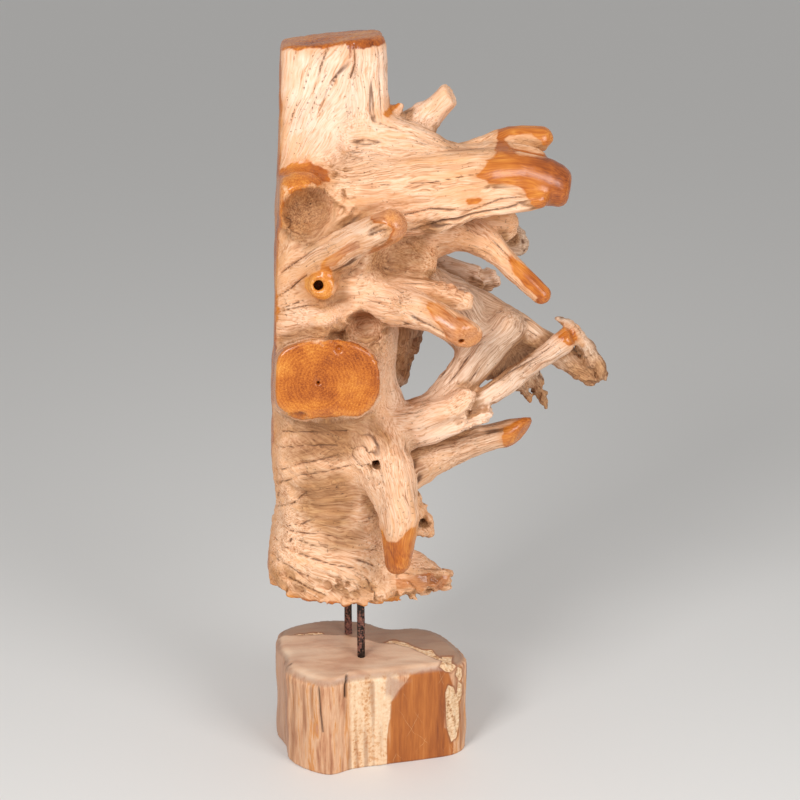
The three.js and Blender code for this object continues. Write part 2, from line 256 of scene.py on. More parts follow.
# %% Distance to one limb
def segment_distance(x, y, z, segment, thin, square):
    """Distance to one stretch, and the place along it and across it."""
    start, end, length, ahead, thick, wide, travelled = segment
    px, py, pz = x - start[0], y - start[1], z - start[2]
    along = px * ahead[0] + py * ahead[1] + pz * ahead[2]
    n = px * thick[0] + py * thick[1] + pz * thick[2]
    c = px * wide[0] + py * wide[1] + pz * wide[2]
    share = np.clip(along / length, 0, 1)
    radius = start[3] + (end[3] - start[3]) * share
    over = along - share * length
    if thin == 1 and square == 2:
        return np.sqrt(n * n + c * c + over * over) - radius, travelled + along, n, c
    flat, broad = np.abs(n) / thin, np.abs(c)
    boxy = (flat ** square + broad ** square) ** (1 / square)
    reach = np.sqrt(boxy * boxy + over * over)
    distance = reach - radius
    if thin < 1:
        slope = np.sqrt((flat / thin) ** 2 + broad * broad + over * over) + 1e-9
        distance = distance * np.minimum(1, reach / slope)
    return distance, travelled + along, n, c


def limb_distance(x, y, z, limb):
    """Distance to a whole limb, with its end sawn off if it was."""
    thin, square = limb.get("thin", 1), limb.get("square", 2)
    nearest = None
    for segment in limb_segments(limb):
        distance = segment_distance(x, y, z, segment, thin, square)[0]
        nearest = distance if nearest is None else np.minimum(nearest, distance)
    if "cut" in limb:
        point = smooth_path(limb["path"])[-1]
        sawn = plane_distance(x, y, z, point, limb["cut"])
        nearest = smooth_max(nearest, sawn, limb.get("cut_round", 12) / 1000)
    return nearest


def plane_distance(x, y, z, point, normal):
    n = unit(normal)
    return (x - point[0]) * n[0] + (y - point[1]) * n[1] + (z - point[2]) * n[2]


def smooth_min(a, b, reach):
    overlap = np.maximum(reach - np.abs(a - b), 0) / reach
    return np.minimum(a, b) - overlap * overlap * reach / 4


def smooth_max(a, b, reach):
    return -smooth_min(-a, -b, reach)


# %% Distances on a grid
FAR_OUTSIDE = 0.05
GRID_MARGIN = 0.012
BOX_SLACK = 1.05


class Grid:
    """Distances at evenly spaced points of a box."""

    def __init__(self, low, high, step):
        self.low, self.step = np.array(low, float), step
        counts = np.ceil((np.array(high) - self.low) / step).astype(int) + 1
        self.axes = [(self.low[i] + step * np.arange(counts[i])).astype(np.float32) for i in range(3)]
        self.value = np.full(counts, FAR_OUTSIDE, np.float32)

    def spans(self, low, high):
        first = [max(0, int((low[i] - self.low[i]) / self.step)) for i in range(3)]
        last = [min(len(self.axes[i]), int((high[i] - self.low[i]) / self.step) + 2) for i in range(3)]
        return tuple(slice(a, b) for a, b in zip(first, last))

    def mesh_axes(self, spans):
        x, y, z = (axis[span] for axis, span in zip(self.axes, spans))
        return x[:, None, None], y[None, :, None], z[None, None, :]

    def sample(self, points):
        """The distance at any point, by mixing its eight neighbours."""
        place = (points - self.low) / self.step
        limit = np.array(self.value.shape) - 2
        base = np.clip(np.floor(place).astype(int), 0, limit)
        part = np.clip(place - base, 0, 1)
        total = np.zeros(len(points))
        for corner in np.ndindex(2, 2, 2):
            weight = np.prod(np.where(corner, part, 1 - part), axis=1)
            total += weight * self.value[tuple((base + corner).T)]
        return total

    def slope(self, points):
        """The way straight out of the skin at any point."""
        reach = self.step
        sides = [self.sample(points + reach * axis) - self.sample(points - reach * axis)
                 for axis in np.eye(3)]
        slope = np.stack(sides, axis=1)
        return slope / (np.linalg.norm(slope, axis=1, keepdims=True) + 1e-12)


def limb_box(limb, margin):
    points = limb_spine(limb)
    reach = points[:, 3].max() * max(1, limb.get("thin", 1)) * BOX_SLACK + margin
    return points[:, :3].min(0) - reach, points[:, :3].max(0) + reach


def root_grid(step):
    grid = Grid(root_low - GRID_MARGIN, root_high + GRID_MARGIN, step)
    for limb in LIMBS.values():
        reach = limb.get("blend", 22) / 1000
        spans = grid.spans(*limb_box(limb, reach + 3 * step))
        distance = limb_distance(*grid.mesh_axes(spans), limb)
        grid.value[spans] = smooth_min(grid.value[spans], distance, reach)
    for hollow in [*HOLLOWS.values(), *HOLES.values()]:
        reach = hollow.get("blend", 14) / 1000
        spans = grid.spans(*limb_box(hollow, reach + 3 * step))
        distance = limb_distance(*grid.mesh_axes(spans), hollow)
        grid.value[spans] = smooth_max(grid.value[spans], -distance, reach)
    x, y, z = grid.mesh_axes((slice(None),) * 3)
    point = np.array(SAWN_FACE["point"]) * SHARE + ROOT_AXIS
    sawn = plane_distance(x, y, z, point, SAWN_FACE["normal"])
    grid.value = smooth_max(grid.value, sawn, SAWN_FACE["round"] / 1000).astype(np.float32)
    for place in RAGGED.values():
        roughen(grid, **place)
    return grid


# %% [markdown]
# The skin is drawn with surface nets: every grid cell that the skin passes through gets one point, at the
# mean of the places where the skin crosses the cell's edges, and neighbouring points are joined into
# quads. Marching cubes would do as well, but it leaves long thin triangles that catch the light.

# %% A skin from distances
def skin(grid):
    value = grid.value
    inside = value < 0
    nx, ny, nz = value.shape
    count = np.zeros((nx - 1, ny - 1, nz - 1), np.int8)
    corners = list(np.ndindex(2, 2, 2))
    for i, j, k in corners:
        count += inside[i:nx - 1 + i, j:ny - 1 + j, k:nz - 1 + k]
    crossed = (count > 0) & (count < 8)
    cells = np.argwhere(crossed)
    number = np.full(crossed.shape, -1, np.int64)
    number[crossed] = np.arange(len(cells))
    corner_values = {c: value[tuple((cells + c).T)] for c in corners}
    total = np.zeros((len(cells), 3))
    crossings = np.zeros(len(cells))
    for a in corners:
        for axis in range(3):
            if a[axis] == 0:
                b = tuple(a[i] + (i == axis) for i in range(3))
                va, vb = corner_values[a], corner_values[b]
                crossing = (va < 0) != (vb < 0)
                share = np.where(crossing, va / np.where(crossing, va - vb, 1), 0)
                total += crossing[:, None] * (np.array(a) + share[:, None] * np.eye(3)[axis])
                crossings += crossing
    points = grid.low + grid.step * (cells + total / crossings[:, None])
    quads = []
    for axis in range(3):
        u, w = np.eye(3, dtype=int)[(axis + 1) % 3], np.eye(3, dtype=int)[(axis + 2) % 3]
        lower = [slice(1, -1)] * 3
        upper = [slice(1, -1)] * 3
        upper[axis] = slice(2, None)
        edges = np.argwhere(inside[tuple(lower)] != inside[tuple(upper)]) + 1
        ring = np.stack([number[tuple((edges - shift).T)] for shift in (u + w, w, 0 * u, u)], axis=1)
        outward = inside[tuple(edges.T)]
        quads.append(np.where(outward[:, None], ring, ring[:, ::-1]))
    return points, np.vstack(quads)


# %% [markdown]
# ## Noise
# Wood never repeats itself, but it changes smoothly. Smooth noise gives that: every corner of a unit
# lattice holds a slope taken from a fixed table, and a point between the corners mixes them. Stretching
# the places before asking for noise stretches the pattern, which is how lumps turn into grain.

# %% Smooth noise
SLOPES = np.random.default_rng(11).normal(size=(4096, 3))
SLOPES /= np.linalg.norm(SLOPES, axis=1, keepdims=True)
LATTICE_PRIMES = np.array([73856093, 19349663, 83492791])
NOISE_GAIN = 1.7
LAYER_SHIFT = 31.7


def noise(places):
    """Smooth noise between about -1 and 1, with one hill or dip for each unit."""
    cell = np.floor(places).astype(np.int64)
    part = places - cell
    ease = part ** 3 * (part * (part * 6 - 15) + 10)
    total = np.zeros(len(places))
    for corner in np.ndindex(2, 2, 2):
        mixed = (cell + corner) * LATTICE_PRIMES
        slope = SLOPES[(mixed[:, 0] ^ mixed[:, 1] ^ mixed[:, 2]) & 4095]
        weight = np.prod(np.where(corner, ease, 1 - ease), axis=1)
        total += weight * np.einsum("ij,ij->i", slope, part - corner)
    return NOISE_GAIN * total


def layered_noise(places, layers):
    """Noise with finer and weaker noise on top of it."""
    return sum(noise(places * 2 ** i + LAYER_SHIFT * i) / 2 ** i for i in range(layers))


def root_place(x, y, z):
    """A place in the root's own thousandths, in metres."""
    return np.array((x, y, z), float) * SHARE + ROOT_AXIS


print("noise at one place:", np.round(noise(np.array([[0.3, 0.6, 0.9]])), 3))

# %% [markdown]
# ## Broken and rotten places
# Some ends were never sawn: they snapped, or rotted underground. Noise added to the distances themselves
# eats real notches and holes into them, where moving the skin in and out could only make bumps. Each
# place has some round spots, x, y, z and radius in thousandths, and says how deep the noise bites and how
# coarse it is, in millimetres. The holes are where side roots fell out, where checks gape, and where a tip
# rotted.

# %% Ragged ends and holes
RAGGED = {
    "hammer": dict(spots=[(380, 10, 445, 26), (395, 15, 405, 36), (360, 20, 410, 26)], depth=8, size=17),
    "fork": dict(spots=[(285, 60, 370, 40), (310, 68, 335, 40)], depth=8, size=15),
    "back_plate": dict(spots=[(215, 105, 550, 30), (190, 100, 535, 25)], depth=9, size=20),
    "opening_edge": dict(spots=[(85, 78, 430, 42), (70, 82, 390, 30)], depth=12, size=22),
    "jag": dict(spots=[(100, -5, 140, 34), (85, -20, 165, 22)], depth=10, size=18),
    "underside": dict(
        spots=[(-45, -105, 40, 42), (105, -60, 30, 42), (60, -60, 15, 45), (-110, -60, 45, 50),
        (140, -50, 45, 26), (20, -80, 10, 45)], depth=12, size=22),
    "strand_end": dict(spots=[(205, -50, 355, 24), (175, -60, 350, 20)], depth=8, size=13),
    "gnarl": dict(
        spots=[(-55, -60, 790, 20), (-39, -75, 778, 18), (-30, -98, 748, 20), (-26, -100, 722, 16)],
        depth=9, size=15),
    "ledge_end": dict(spots=[(172, -70, 560, 22), (150, -75, 590, 18)], depth=8, size=16),
    "leg_root": dict(spots=[(25, -130, 300, 36)], depth=6, size=16),
    "ring_knob": dict(spots=[(180, -62, 388, 22)], depth=6, size=14),
    "tube_wall": dict(spots=[(0, -100, 520, 40)], depth=7, size=18),
}
HOLES = {
    "leg_hole": dict(path=[(16, -152, 295, 7), (25, -146, 299, 9), (38, -152, 303, 4)], blend=6),
    "leg_hole_deep": dict(path=[(23, -150, 297, 7), (14, -100, 292, 6)], blend=4),
    "gash": dict(path=[(74, -160, 256, 5), (64, -168, 242, 7), (55, -176, 231, 4)], blend=5),
    "notch": dict(path=[(-118, -212, 404, 6), (-105, -200, 405, 11), (-93, -212, 406, 6)], blend=4),
    "slit_below": dict(path=[(-40, -206, 522, 4), (-38, -190, 516, 6)], blend=4),
    "jag_hole": dict(path=[(104, -40, 136, 9), (98, 0, 138, 7)], blend=5),
    "leg_gap": dict(path=[(88, -120, 92, 8), (86, -60, 96, 9)], blend=6),
    "web_gash": dict(path=[(222, -50, 464, 5), (234, -36, 470, 7), (246, -40, 476, 5)], blend=5),
    "ear_bowl": dict(path=[(262, 30, 640, 17), (232, 66, 652, 15)], blend=10),
    "arm_tip_bowl": dict(path=[(252, -40, 820, 13), (275, -42, 816, 17), (300, -36, 810, 13)], blend=8),
    "tip_crack": dict(path=[(290, -26, 806, 4), (312, -12, 806, 5)], blend=4),
    "tip_notch": dict(path=[(318, -40, 802, 6), (312, 20, 800, 8)], blend=8),
    "hammer_slit": dict(path=[(362, -20, 464, 4), (371, 0, 448, 5), (376, 5, 436, 4)], blend=4),
    "hammer_cave": dict(path=[(362, -10, 438, 6), (384, 0, 425, 7), (398, 6, 408, 5)], blend=5),
    "tongue_hole": dict(path=[(160, -185, 522, 4), (158, -160, 522, 4)], blend=3),
    "pith": dict(path=[(-71, -206, 461, 3), (-71, -190, 461, 3)], blend=2),
    "arm_knot_ring": dict(path=[(160, -122, 732, 4), (172, -124, 726, 5), (184, -120, 733, 4)], blend=5),
    "foot_hole": dict(path=[(122, -85, 22, 9), (112, -60, 26, 10)], blend=6),
}


RAGGED_REACH, RAGGED_FADE, RAGGED_BAND, RAGGED_LAYERS = 1.6, 1.5, 0.020, 2


def roughen(grid, spots, depth, size):
    """Lets noise bite into the skin near some spots."""
    reach = RAGGED_REACH * max(spot[3] for spot in spots) * SHARE
    middles = np.array([root_place(*spot[:3]) for spot in spots])
    spans = grid.spans(middles.min(0) - reach, middles.max(0) + reach)
    block = grid.value[spans]
    near_skin = np.abs(block) < RAGGED_BAND
    axes = grid.mesh_axes(spans)
    places = np.stack([np.broadcast_to(axis, block.shape)[near_skin] for axis in axes], axis=1)
    strength = np.zeros(len(places))
    for middle, spot in zip(middles, spots):
        gap = np.linalg.norm(places - middle, axis=1) / (spot[3] * SHARE)
        strength = np.maximum(strength, np.clip(RAGGED_FADE - gap, 0, 1))
    bite = depth / 1000 * layered_noise(places * 1000 / size, RAGGED_LAYERS)
    block[near_skin] += strength * bite


GRID_STEP = 0.0037
grid = root_grid(GRID_STEP)
points, quads = skin(grid)
print("root skin:", len(points), "points and", len(quads), "quads")

# %% [markdown]
# ## Where each point lies on its limb
# Grain follows the limb, round every bend. So each point of the skin is given its place on the limbs near
# it: how far along, how far through the thickness and how far across. Where two limbs meet, a point
# has a place on both, and the patterns of both are mixed by how near each one is.

# %% Places along, through and across the limbs
BEND_MIX = 0.006
MEETING_MIX = 0.006
NEAR_LIMB = 0.035
FAN_RADIUS = 0.28
LIMB_SHIFT = 0.9
NO_LIMB_NEAR = 1.0
SAWN_LEAD, SAWN_PULL = 0.010, 4


def limb_places(points, limb):
    """Each point's distance to the limb, and its place along, through and across it."""
    thin, square = limb.get("thin", 1), limb.get("square", 2)
    found = np.array([segment_distance(*points.T, segment, thin, square)
                      for segment in limb_segments(limb)])
    nearest = found[:, 0].min(0)
    if "fan" in limb:
        return nearest, fan_places(points, *limb["fan"])
    weight = np.exp((nearest - found[:, 0]) / BEND_MIX)
    place = (found[:, 1:] * weight[:, None]).sum(0) / weight.sum(0)
    pith = np.array((0, *limb.get("pith", (0, 0)))) / 1000
    return nearest, place.T - pith


def fan_places(points, x, z):
    """Places on grain that spreads like a fan, as it does where a trunk widens into its roots."""
    right, _, up = (points - root_place(x, 0, z)).T
    return np.stack([np.hypot(right, up), points[:, 1], FAN_RADIUS * np.arctan2(up, right)], axis=1)


def sawn_depth(points):
    """How far each point lies outside the plane of the long saw cut, or inside it where below 0."""
    return plane_distance(*points.T, root_place(*SAWN_FACE["point"]), SAWN_FACE["normal"])


def all_limb_places(points):
    """One row for each limb, and a last one for the long sawn face, where the grain runs straight up."""
    distances = np.full((len(LIMBS) + 1, len(points)), NO_LIMB_NEAR)
    places = np.zeros((len(LIMBS) + 1, len(points), 3))
    for row, limb in enumerate(LIMBS.values()):
        low, high = limb_box(limb, NEAR_LIMB)
        near = np.flatnonzero(((points > low) & (points < high)).all(axis=1))
        distances[row, near], places[row, near] = limb_places(points[near], limb)
        places[row, near, 0] += LIMB_SHIFT * row
    distances[-1] = distances.min(0) - SAWN_LEAD - SAWN_PULL * sawn_depth(points)
    places[-1] = points[:, ::-1]
    return distances, places


# %% [markdown]
# ## Relief of weathered wood
# Soft early wood wears away first and leaves the hard rings standing, as flutes along the grain. Between
# them the root keeps the lumps it grew round stones. Both are real relief here, so that they show on the
# outline and throw shadows; only what is finer than about 4 mm is left to the material.

# %% Lumps, flutes and checks
LUMP_SIZE, LUMP_DEPTH = 0.075, 0.0040
BUMP_SIZE, BUMP_DEPTH = 0.028, 0.0018
FLUTE_LENGTH, FLUTE_DEPTH = 0.20, 0.0034
FINE_FLUTE_LENGTH, FINE_FLUTE_WIDTH, FINE_FLUTE_DEPTH = 0.10, 0.007, 0.0014
CHECK_LENGTH, CHECK_WIDTH, CHECK_DEPTH = 0.26, 0.024, 0.0036
FLUTE_SHARE, FLUTE_NARROWEST, FLUTE_WIDEST, FLUTE_LEVEL = 0.32, 0.007, 0.024, 0.4
CHECKED_SIZE, CHECK_SHARPNESS = 0.09, 0.11
SAWN_GIRTH = 0.05


def limb_relief(place, radius):
    width = np.clip(FLUTE_SHARE * radius, FLUTE_NARROWEST, FLUTE_WIDEST)
    flutes = noise(place / (FLUTE_LENGTH, width, width))
    fine = noise(place / (FINE_FLUTE_LENGTH, FINE_FLUTE_WIDTH, FINE_FLUTE_WIDTH))
    crack_line = noise(place / (CHECK_LENGTH, CHECK_WIDTH, CHECK_WIDTH) + 5.3)
    open_here = np.clip(3 * noise(place / CHECKED_SIZE + 9.1), 0, 1)
    checks = open_here * np.exp(-(crack_line / CHECK_SHARPNESS) ** 2)
    height = FLUTE_DEPTH * (FLUTE_LEVEL - np.abs(flutes)) + FINE_FLUTE_DEPTH * fine - CHECK_DEPTH * checks
    return height, checks


def wood_relief(points, distances, places):
    nearest = distances.min(0)
    height, checks, total = np.zeros((3, len(points)))
    girths = [SHARE * np.mean([stop[3] for stop in limb["path"]]) for limb in LIMBS.values()]
    for row, radius in enumerate([*girths, SAWN_GIRTH]):
        near = np.flatnonzero(distances[row] < nearest + 5 * MEETING_MIX)
        weight = np.exp((nearest[near] - distances[row, near]) / MEETING_MIX)
        limb_height, limb_checks = limb_relief(places[row, near], radius)
        height[near] += weight * limb_height
        checks[near] += weight * limb_checks
        total[near] += weight
    lumps = LUMP_DEPTH * noise(points / LUMP_SIZE) + BUMP_DEPTH * noise(points / BUMP_SIZE + 3.3)
    return height / total + lumps, checks / total


# %% [markdown]
# Drying wood splits along its grain. The longest checks are placed one by one, because the eye
# remembers them: each is a line on the skin, with its half width and depth in millimetres. A line counts
# only for the skin within 16 mm of it, so that it can't mark a limb behind.

# %% Long checks
LONG_CHECKS = {
    "crown_split": dict(path=[(-16, -41, 990), (-13, -44, 949), (-21, -42, 925)], width=2.6, depth=6),
    "crown_1": dict(path=[(-67, -38, 914), (-57, -38, 932)], width=1.8, depth=4),
    "crown_2": dict(path=[(-54, -39, 903), (-42, -38, 926)], width=1.8, depth=4),
    "crown_3": dict(path=[(-84, -39, 868), (-74, -39, 895)], width=1.6, depth=3),
    "crown_4": dict(path=[(-120, -36, 848), (-105, -37, 885)], width=1.6, depth=3),
    "crown_5": dict(path=[(-95, -38, 905), (-84, -38, 940)], width=1.5, depth=2),
    "stub_long": dict(
        path=[(-137, -90, 614), (-108, -110, 641), (-84, -119, 658), (-51, -133, 676), (-24, -150, 697)],
        width=2.2, depth=7),
    "stub_low": dict(path=[(-145, -84, 572), (-119, -102, 591), (-92, -120, 618)], width=2.0, depth=5),
    "stub_mid": dict(path=[(-148, -84, 545), (-125, -100, 560), (-96, -115, 578)], width=2.2, depth=4),
    "arm_upper": dict(
        path=[(66, -100, 712), (109, -106, 725), (173, -107, 722), (221, -100, 740), (262, -98, 747)],
        width=2.4, depth=6),
    "arm_lower": dict(
        path=[(69, -90, 682), (125, -105, 702), (189, -105, 715), (254, -100, 730)], width=3.0, depth=7),
    "arm_top_line": dict(path=[(30, -95, 760), (110, -108, 768), (190, -100, 782)], width=1.6, depth=2.5),
    "brow_line": dict(
        path=[(-142, -96, 549), (-103, -112, 564), (-52, -132, 580), (28, -118, 572)], width=2.0, depth=5),
    "furrow_1": dict(path=[(-160, -54, 253), (-109, -102, 285), (-50, -107, 299)], width=2.6, depth=6),
    "furrow_2": dict(
        path=[(-160, -46, 222), (-109, -100, 264), (-58, -106, 273), (-24, -111, 283)], width=2.2, depth=5),
    "furrow_3": dict(path=[(-160, -20, 172), (-125, -82, 203), (-100, -94, 228)], width=2.4, depth=5),
    "furrow_4": dict(path=[(-162, -22, 150), (-126, -84, 152)], width=2.0, depth=4),
    "furrow_5": dict(
        path=[(-162, -53, 127), (-112, -101, 116), (-60, -109, 101), (-15, -109, 92)], width=2.4, depth=5),
    "furrow_6": dict(path=[(-164, -60, 101), (-130, -100, 91), (-100, -110, 78)], width=2.2, depth=5),
    "furrow_7": dict(path=[(-166, -64, 76), (-121, -108, 68), (-69, -119, 44)], width=2.6, depth=6),
    "furrow_8": dict(path=[(-150, -80, 335), (-100, -105, 342), (-30, -108, 345)], width=2.4, depth=5),
    "furrow_9": dict(path=[(-155, -75, 305), (-100, -105, 318), (-45, -108, 320)], width=2.2, depth=5),
    "foot_1": dict(path=[(70, -92, 64), (84, -84, 46), (98, -78, 28)], width=2.2, depth=6),
    "foot_2": dict(path=[(120, -78, 55), (130, -70, 30)], width=2.2, depth=6),
}
CHECK_ABOVE = 0.016


def long_checks(points, normals, checks, place):
    """How deep the long checks cut each point, and how dark they are there from 0 to 1."""
    depths, darkness = np.zeros((2, len(points)))
    for check in checks.values():
        stops = np.array([place(*stop) for stop in check["path"]])
        for start, end in zip(stops[:-1], stops[1:]):
            run = end - start
            share = np.clip((points - start) @ run / (run @ run), 0, 1)
            gap = points - start - share[:, None] * run
            above = (gap * normals).sum(1)
            aside = np.sqrt(np.maximum((gap ** 2).sum(1) - above ** 2, 0))
            groove = np.exp(-(aside * 1000 / check["width"]) ** 2) * (np.abs(above) < CHECK_ABOVE)
            depths = np.maximum(depths, groove * check["depth"] / 1000)
            darkness = np.maximum(darkness, groove)
    return depths, darkness


# %% [markdown]
# ## What the hand and the weather did where
# The maker rounded and oiled the sawn ends, so they are smooth, dark orange and glossy. The rest is raw
# and bleached, and brown where dirt and damp stayed; the hollows are also painted brown as shade. Each
# is noted at every point of the skin as a number that is above 0 inside the area and falls by 1 for every
# 20 mm beyond its edge, so that the material can draw a crisp, jagged edge between two points.

# %% Oiled areas, as seen from the front
OILED_AREAS = {
    "crown_left": dict(
        y=(-60, 100), outline=[(-139, 956), (-120, 966), (-83, 977), (-72, 981), (-43, 988), (-48, 1020),
        (-160, 1020), (-160, 956)]),
    "crown_right": dict(
        y=(-60, 100), outline=[(-17, 979), (0, 984), (6, 987), (24, 985), (32, 976), (50, 985),
        (38, 1020), (-23, 1020), (-21, 987)]),
    "crown_seam": dict(y=(-60, -10), outline=[(-22, 983), (-16, 983), (-17, 958), (-25, 949), (-22, 965)]),
    "spur_tip": dict(
        y=(-60, 20), outline=[(27, 868), (39, 874), (50, 882), (56, 890), (62, 880), (48, 864), (41, 857)]),
    "nose": dict(
        y=(-130, 60), outline=[(222, 836), (216, 814), (213, 806), (197, 800), (195, 789), (181, 779),
        (181, 772), (204, 765), (238, 760), (252, 755), (262, 744), (269, 732), (282, 716), (350, 700),
        (360, 739), (350, 785), (309, 798), (277, 804), (253, 807), (240, 812), (232, 819), (240, 826),
        (276, 830), (288, 818), (296, 806), (330, 806), (330, 860), (242, 860)]),
    "arm_knot": dict(
        y=(-140, -70), outline=[(164, 742), (181, 746), (196, 740), (188, 731), (174, 728), (165, 733)]),
    "scoop_rim": dict(
        y=(-160, 50), outline=[(-168, 733), (-146, 762), (-122, 785), (-93, 792), (-72, 787), (-55, 776),
        (-54, 764), (-71, 766), (-85, 770), (-98, 760), (-101, 753), (-119, 753), (-118, 764),
        (-126, 767), (-140, 762)]),
    "scoop_flank": dict(
        y=(-160, 50), outline=[(-168, 726), (-138, 765), (-126, 766), (-122, 752), (-130, 726),
        (-142, 703), (-169, 665)]),
    "stub_tip": dict(
        y=(-240, -110), outline=[(-3, 721), (9, 729), (21, 726), (42, 726), (51, 716), (45, 702),
        (31, 690), (16, 683), (9, 668), (47, 648), (90, 660), (95, 700), (75, 745), (39, 745), (0, 735)]),
    "stub_smear": dict(
        y=(-220, -110), outline=[(-25, 683), (-11, 691), (2, 692), (-2, 680), (-21, 669), (-39, 650),
        (-46, 640), (-62, 640), (-57, 652), (-37, 669)]),
    "knot": dict(
        y=(-180, -95), outline=[(-85, 624), (-69, 632), (-64, 643), (-56, 647), (-50, 631), (-45, 612),
        (-48, 593), (-67, 574), (-86, 578), (-98, 594), (-98, 611)]),
    "finger": dict(
        y=(-110, -20), outline=[(238, 636), (255, 624), (284, 606), (307, 587), (325, 568), (298, 538),
        (282, 562), (288, 570), (267, 586), (251, 607), (242, 622)]),
    "tongue": dict(
        y=(-200, -95), outline=[(100, 578), (119, 577), (146, 560), (175, 552), (214, 520), (216, 477),
        (174, 467), (150, 500), (127, 544), (113, 563)]),
    "disc": dict(
        y=(-240, -160), outline=[(-149, 525), (-59, 526), (-47, 538), (-25, 541), (-4, 525), (15, 505),
        (25, 484), (20, 455), (5, 427), (-23, 408), (-60, 394), (-105, 390), (-131, 394), (-190, 390),
        (-190, 525)]),
    "leg_tip": dict(
        y=(-220, -128), outline=[(8, 176), (19, 180), (33, 184), (41, 173), (50, 173), (61, 181),
        (70, 192), (90, 200), (95, 90), (70, 45), (30, 45), (5, 89), (0, 133)]),
    "foot_patch": dict(
        y=(-120, -30), outline=[(50, 64), (71, 66), (90, 69), (118, 66), (125, 60), (150, 56), (131, 24),
        (118, 44), (107, 49), (97, 33), (81, 46), (55, 42)]),
    "low_tip": dict(
        y=(-60, 70), outline=[(234, 294), (241, 315), (262, 322), (291, 342), (312, 311), (300, 270),
        (253, 258)]),
    "stick_tip": dict(
        y=(-60, 12), outline=[(326, 483), (340, 493), (362, 492), (366, 470), (351, 464), (338, 475)]),
}
THINLY_OILED = ("scoop_flank", "stub_smear", "tongue", "foot_patch", "stub_tip")
OILED_ENDS = {"crown": 5, "ridge": 2, "disc": 5, "tongue": 5, "rear_stub": 9, "trunk_lower": 5}
OILED_TIPS = {"rear_arm": 0.93, "rear_horn": 0.93, "rear_foot": 0.95}

# %% [markdown]
# The hollows are browner, partly from dirt and damp and partly as painted shade, and the furrows there are
# deeper: both are given as round spots, x, y, z and radius. Whole limbs are greyer or more tanned than
# others, by how the weather reached them.

# %% Spots of stain and painted shade, and the limbs' tones
STAIN_AND_SHADE_SPOTS = [
    (-88, -90, 712, 52), (40, -75, 635, 46), (85, -70, 650, 30), (-110, -105, 346, 60),
    (-40, -115, 350, 58), (20, -110, 350, 30), (5, -70, 520, 37), (70, 70, 435, 56), (-60, -115, 215, 62),
    (-30, -120, 150, 40), (-110, -120, 315, 24), (395, 10, 410, 40), (360, 15, 475, 14),
    (300, 65, 355, 45), (250, 25, 450, 20), (-150, -95, 66, 20), (60, -100, 690, 22), (110, -100, 690, 18),
]
FURROWED_SPOTS = [(-120, -90, 250, 45), (-110, -100, 320, 45), (-130, -90, 90, 50), (-80, -110, 80, 45),
                  (60, -90, 690, 35), (140, -95, 700, 35)]
GREYED = {
    "back_plate": 0.2, "hammer": 0.9, "ear": 0.8, "back_root": 0.5, "ring_right": 0.6, "ring_left": 0.7,
    "back_wall": 0.8, "fork_long": 0.9, "fork_short": 0.9, "ring_web": 0.7, "stick": 0.3,
    "low_limb": 0.25, "rear_rib": 0.4, "rear_arm": 0.4, "rear_horn": 0.4, "rear_stub": 0.3,
    "rear_foot": 0.4,
}
TANNED = {
    "arm_top": 0.7, "arm_middle": 0.65, "arm_low": 0.5, "under_arm": 0.8, "cheek": 1.0, "ledge": 0.7,
    "arm_web": 0.7, "shoulder_web": 0.4, "tongue": 0.5, "back_root": 0.6, "stub": 0.45,
    "trunk_middle": 0.7, "trunk_lower": 0.6, "leg": 0.5, "scoop": 0.9, "finger": 0.6, "ring_low": 0.5,
    "foot": 0.6, "brow": 0.3, "low_limb": 0.5, "knot": 0.6, "rear_rib": 0.6, "rear_stub": 0.5, "jag": 0.8,
    "disc": 0.4,
}
print(len(OILED_AREAS), "oiled areas and", len(STAIN_AND_SHADE_SPOTS), "stained spots")

# %% How far a point lies inside an area
EDGE_REACH = 0.020


def inside_outline(across, up, outline):
    """How far each place lies inside a closed outline, or outside it where below 0."""
    inside, nearest = np.zeros(len(across), bool), np.full(len(across), np.inf)
    for (x0, z0), (x1, z1) in zip(outline, [*outline[1:], outline[0]]):
        right, rise = x1 - x0, z1 - z0
        share = np.clip(((across - x0) * right + (up - z0) * rise) / (right ** 2 + rise ** 2), 0, 1)
        nearest = np.minimum(nearest, np.hypot(across - x0 - share * right, up - z0 - share * rise))
        if rise:
            inside ^= ((z0 > up) != (z1 > up)) & (across < x0 + (up - z0) * right / rise)
    return np.where(inside, nearest, -nearest)


def inside_areas(places, areas, unit_size):
    """How far each place lies inside the nearest area, whose outline is drawn as seen from the front."""
    strength = np.full(len(places), -1.0)
    for area in areas.values():
        depth = inside_outline(places[:, 0], places[:, 2], area["outline"])
        depth = np.minimum(depth, np.minimum(places[:, 1] - area["y"][0], area["y"][1] - places[:, 1]))
        strength = np.maximum(strength, depth * unit_size / EDGE_REACH)
    return np.minimum(strength, 1)


def inside_spots(places, spots, unit_size):
    """How far each place lies inside the nearest of some round spots."""
    strength = np.full(len(places), -1.0)
    for x, y, z, radius in spots:
        gap = np.linalg.norm(places - (x, y, z), axis=1)
        strength = np.maximum(strength, (radius - gap) * unit_size / EDGE_REACH)
    return np.minimum(strength, 1)


# %% What each point of the skin is
SAWN_OIL_DEPTH = 0.004
OWN_REACH = 0.012
TONE_MIX = 0.012
SHELTER_REACHES = (0.012, 0.024, 0.042)
RELIEF_UNDER_OIL = 0.3
FURROW_GAIN = 0.9


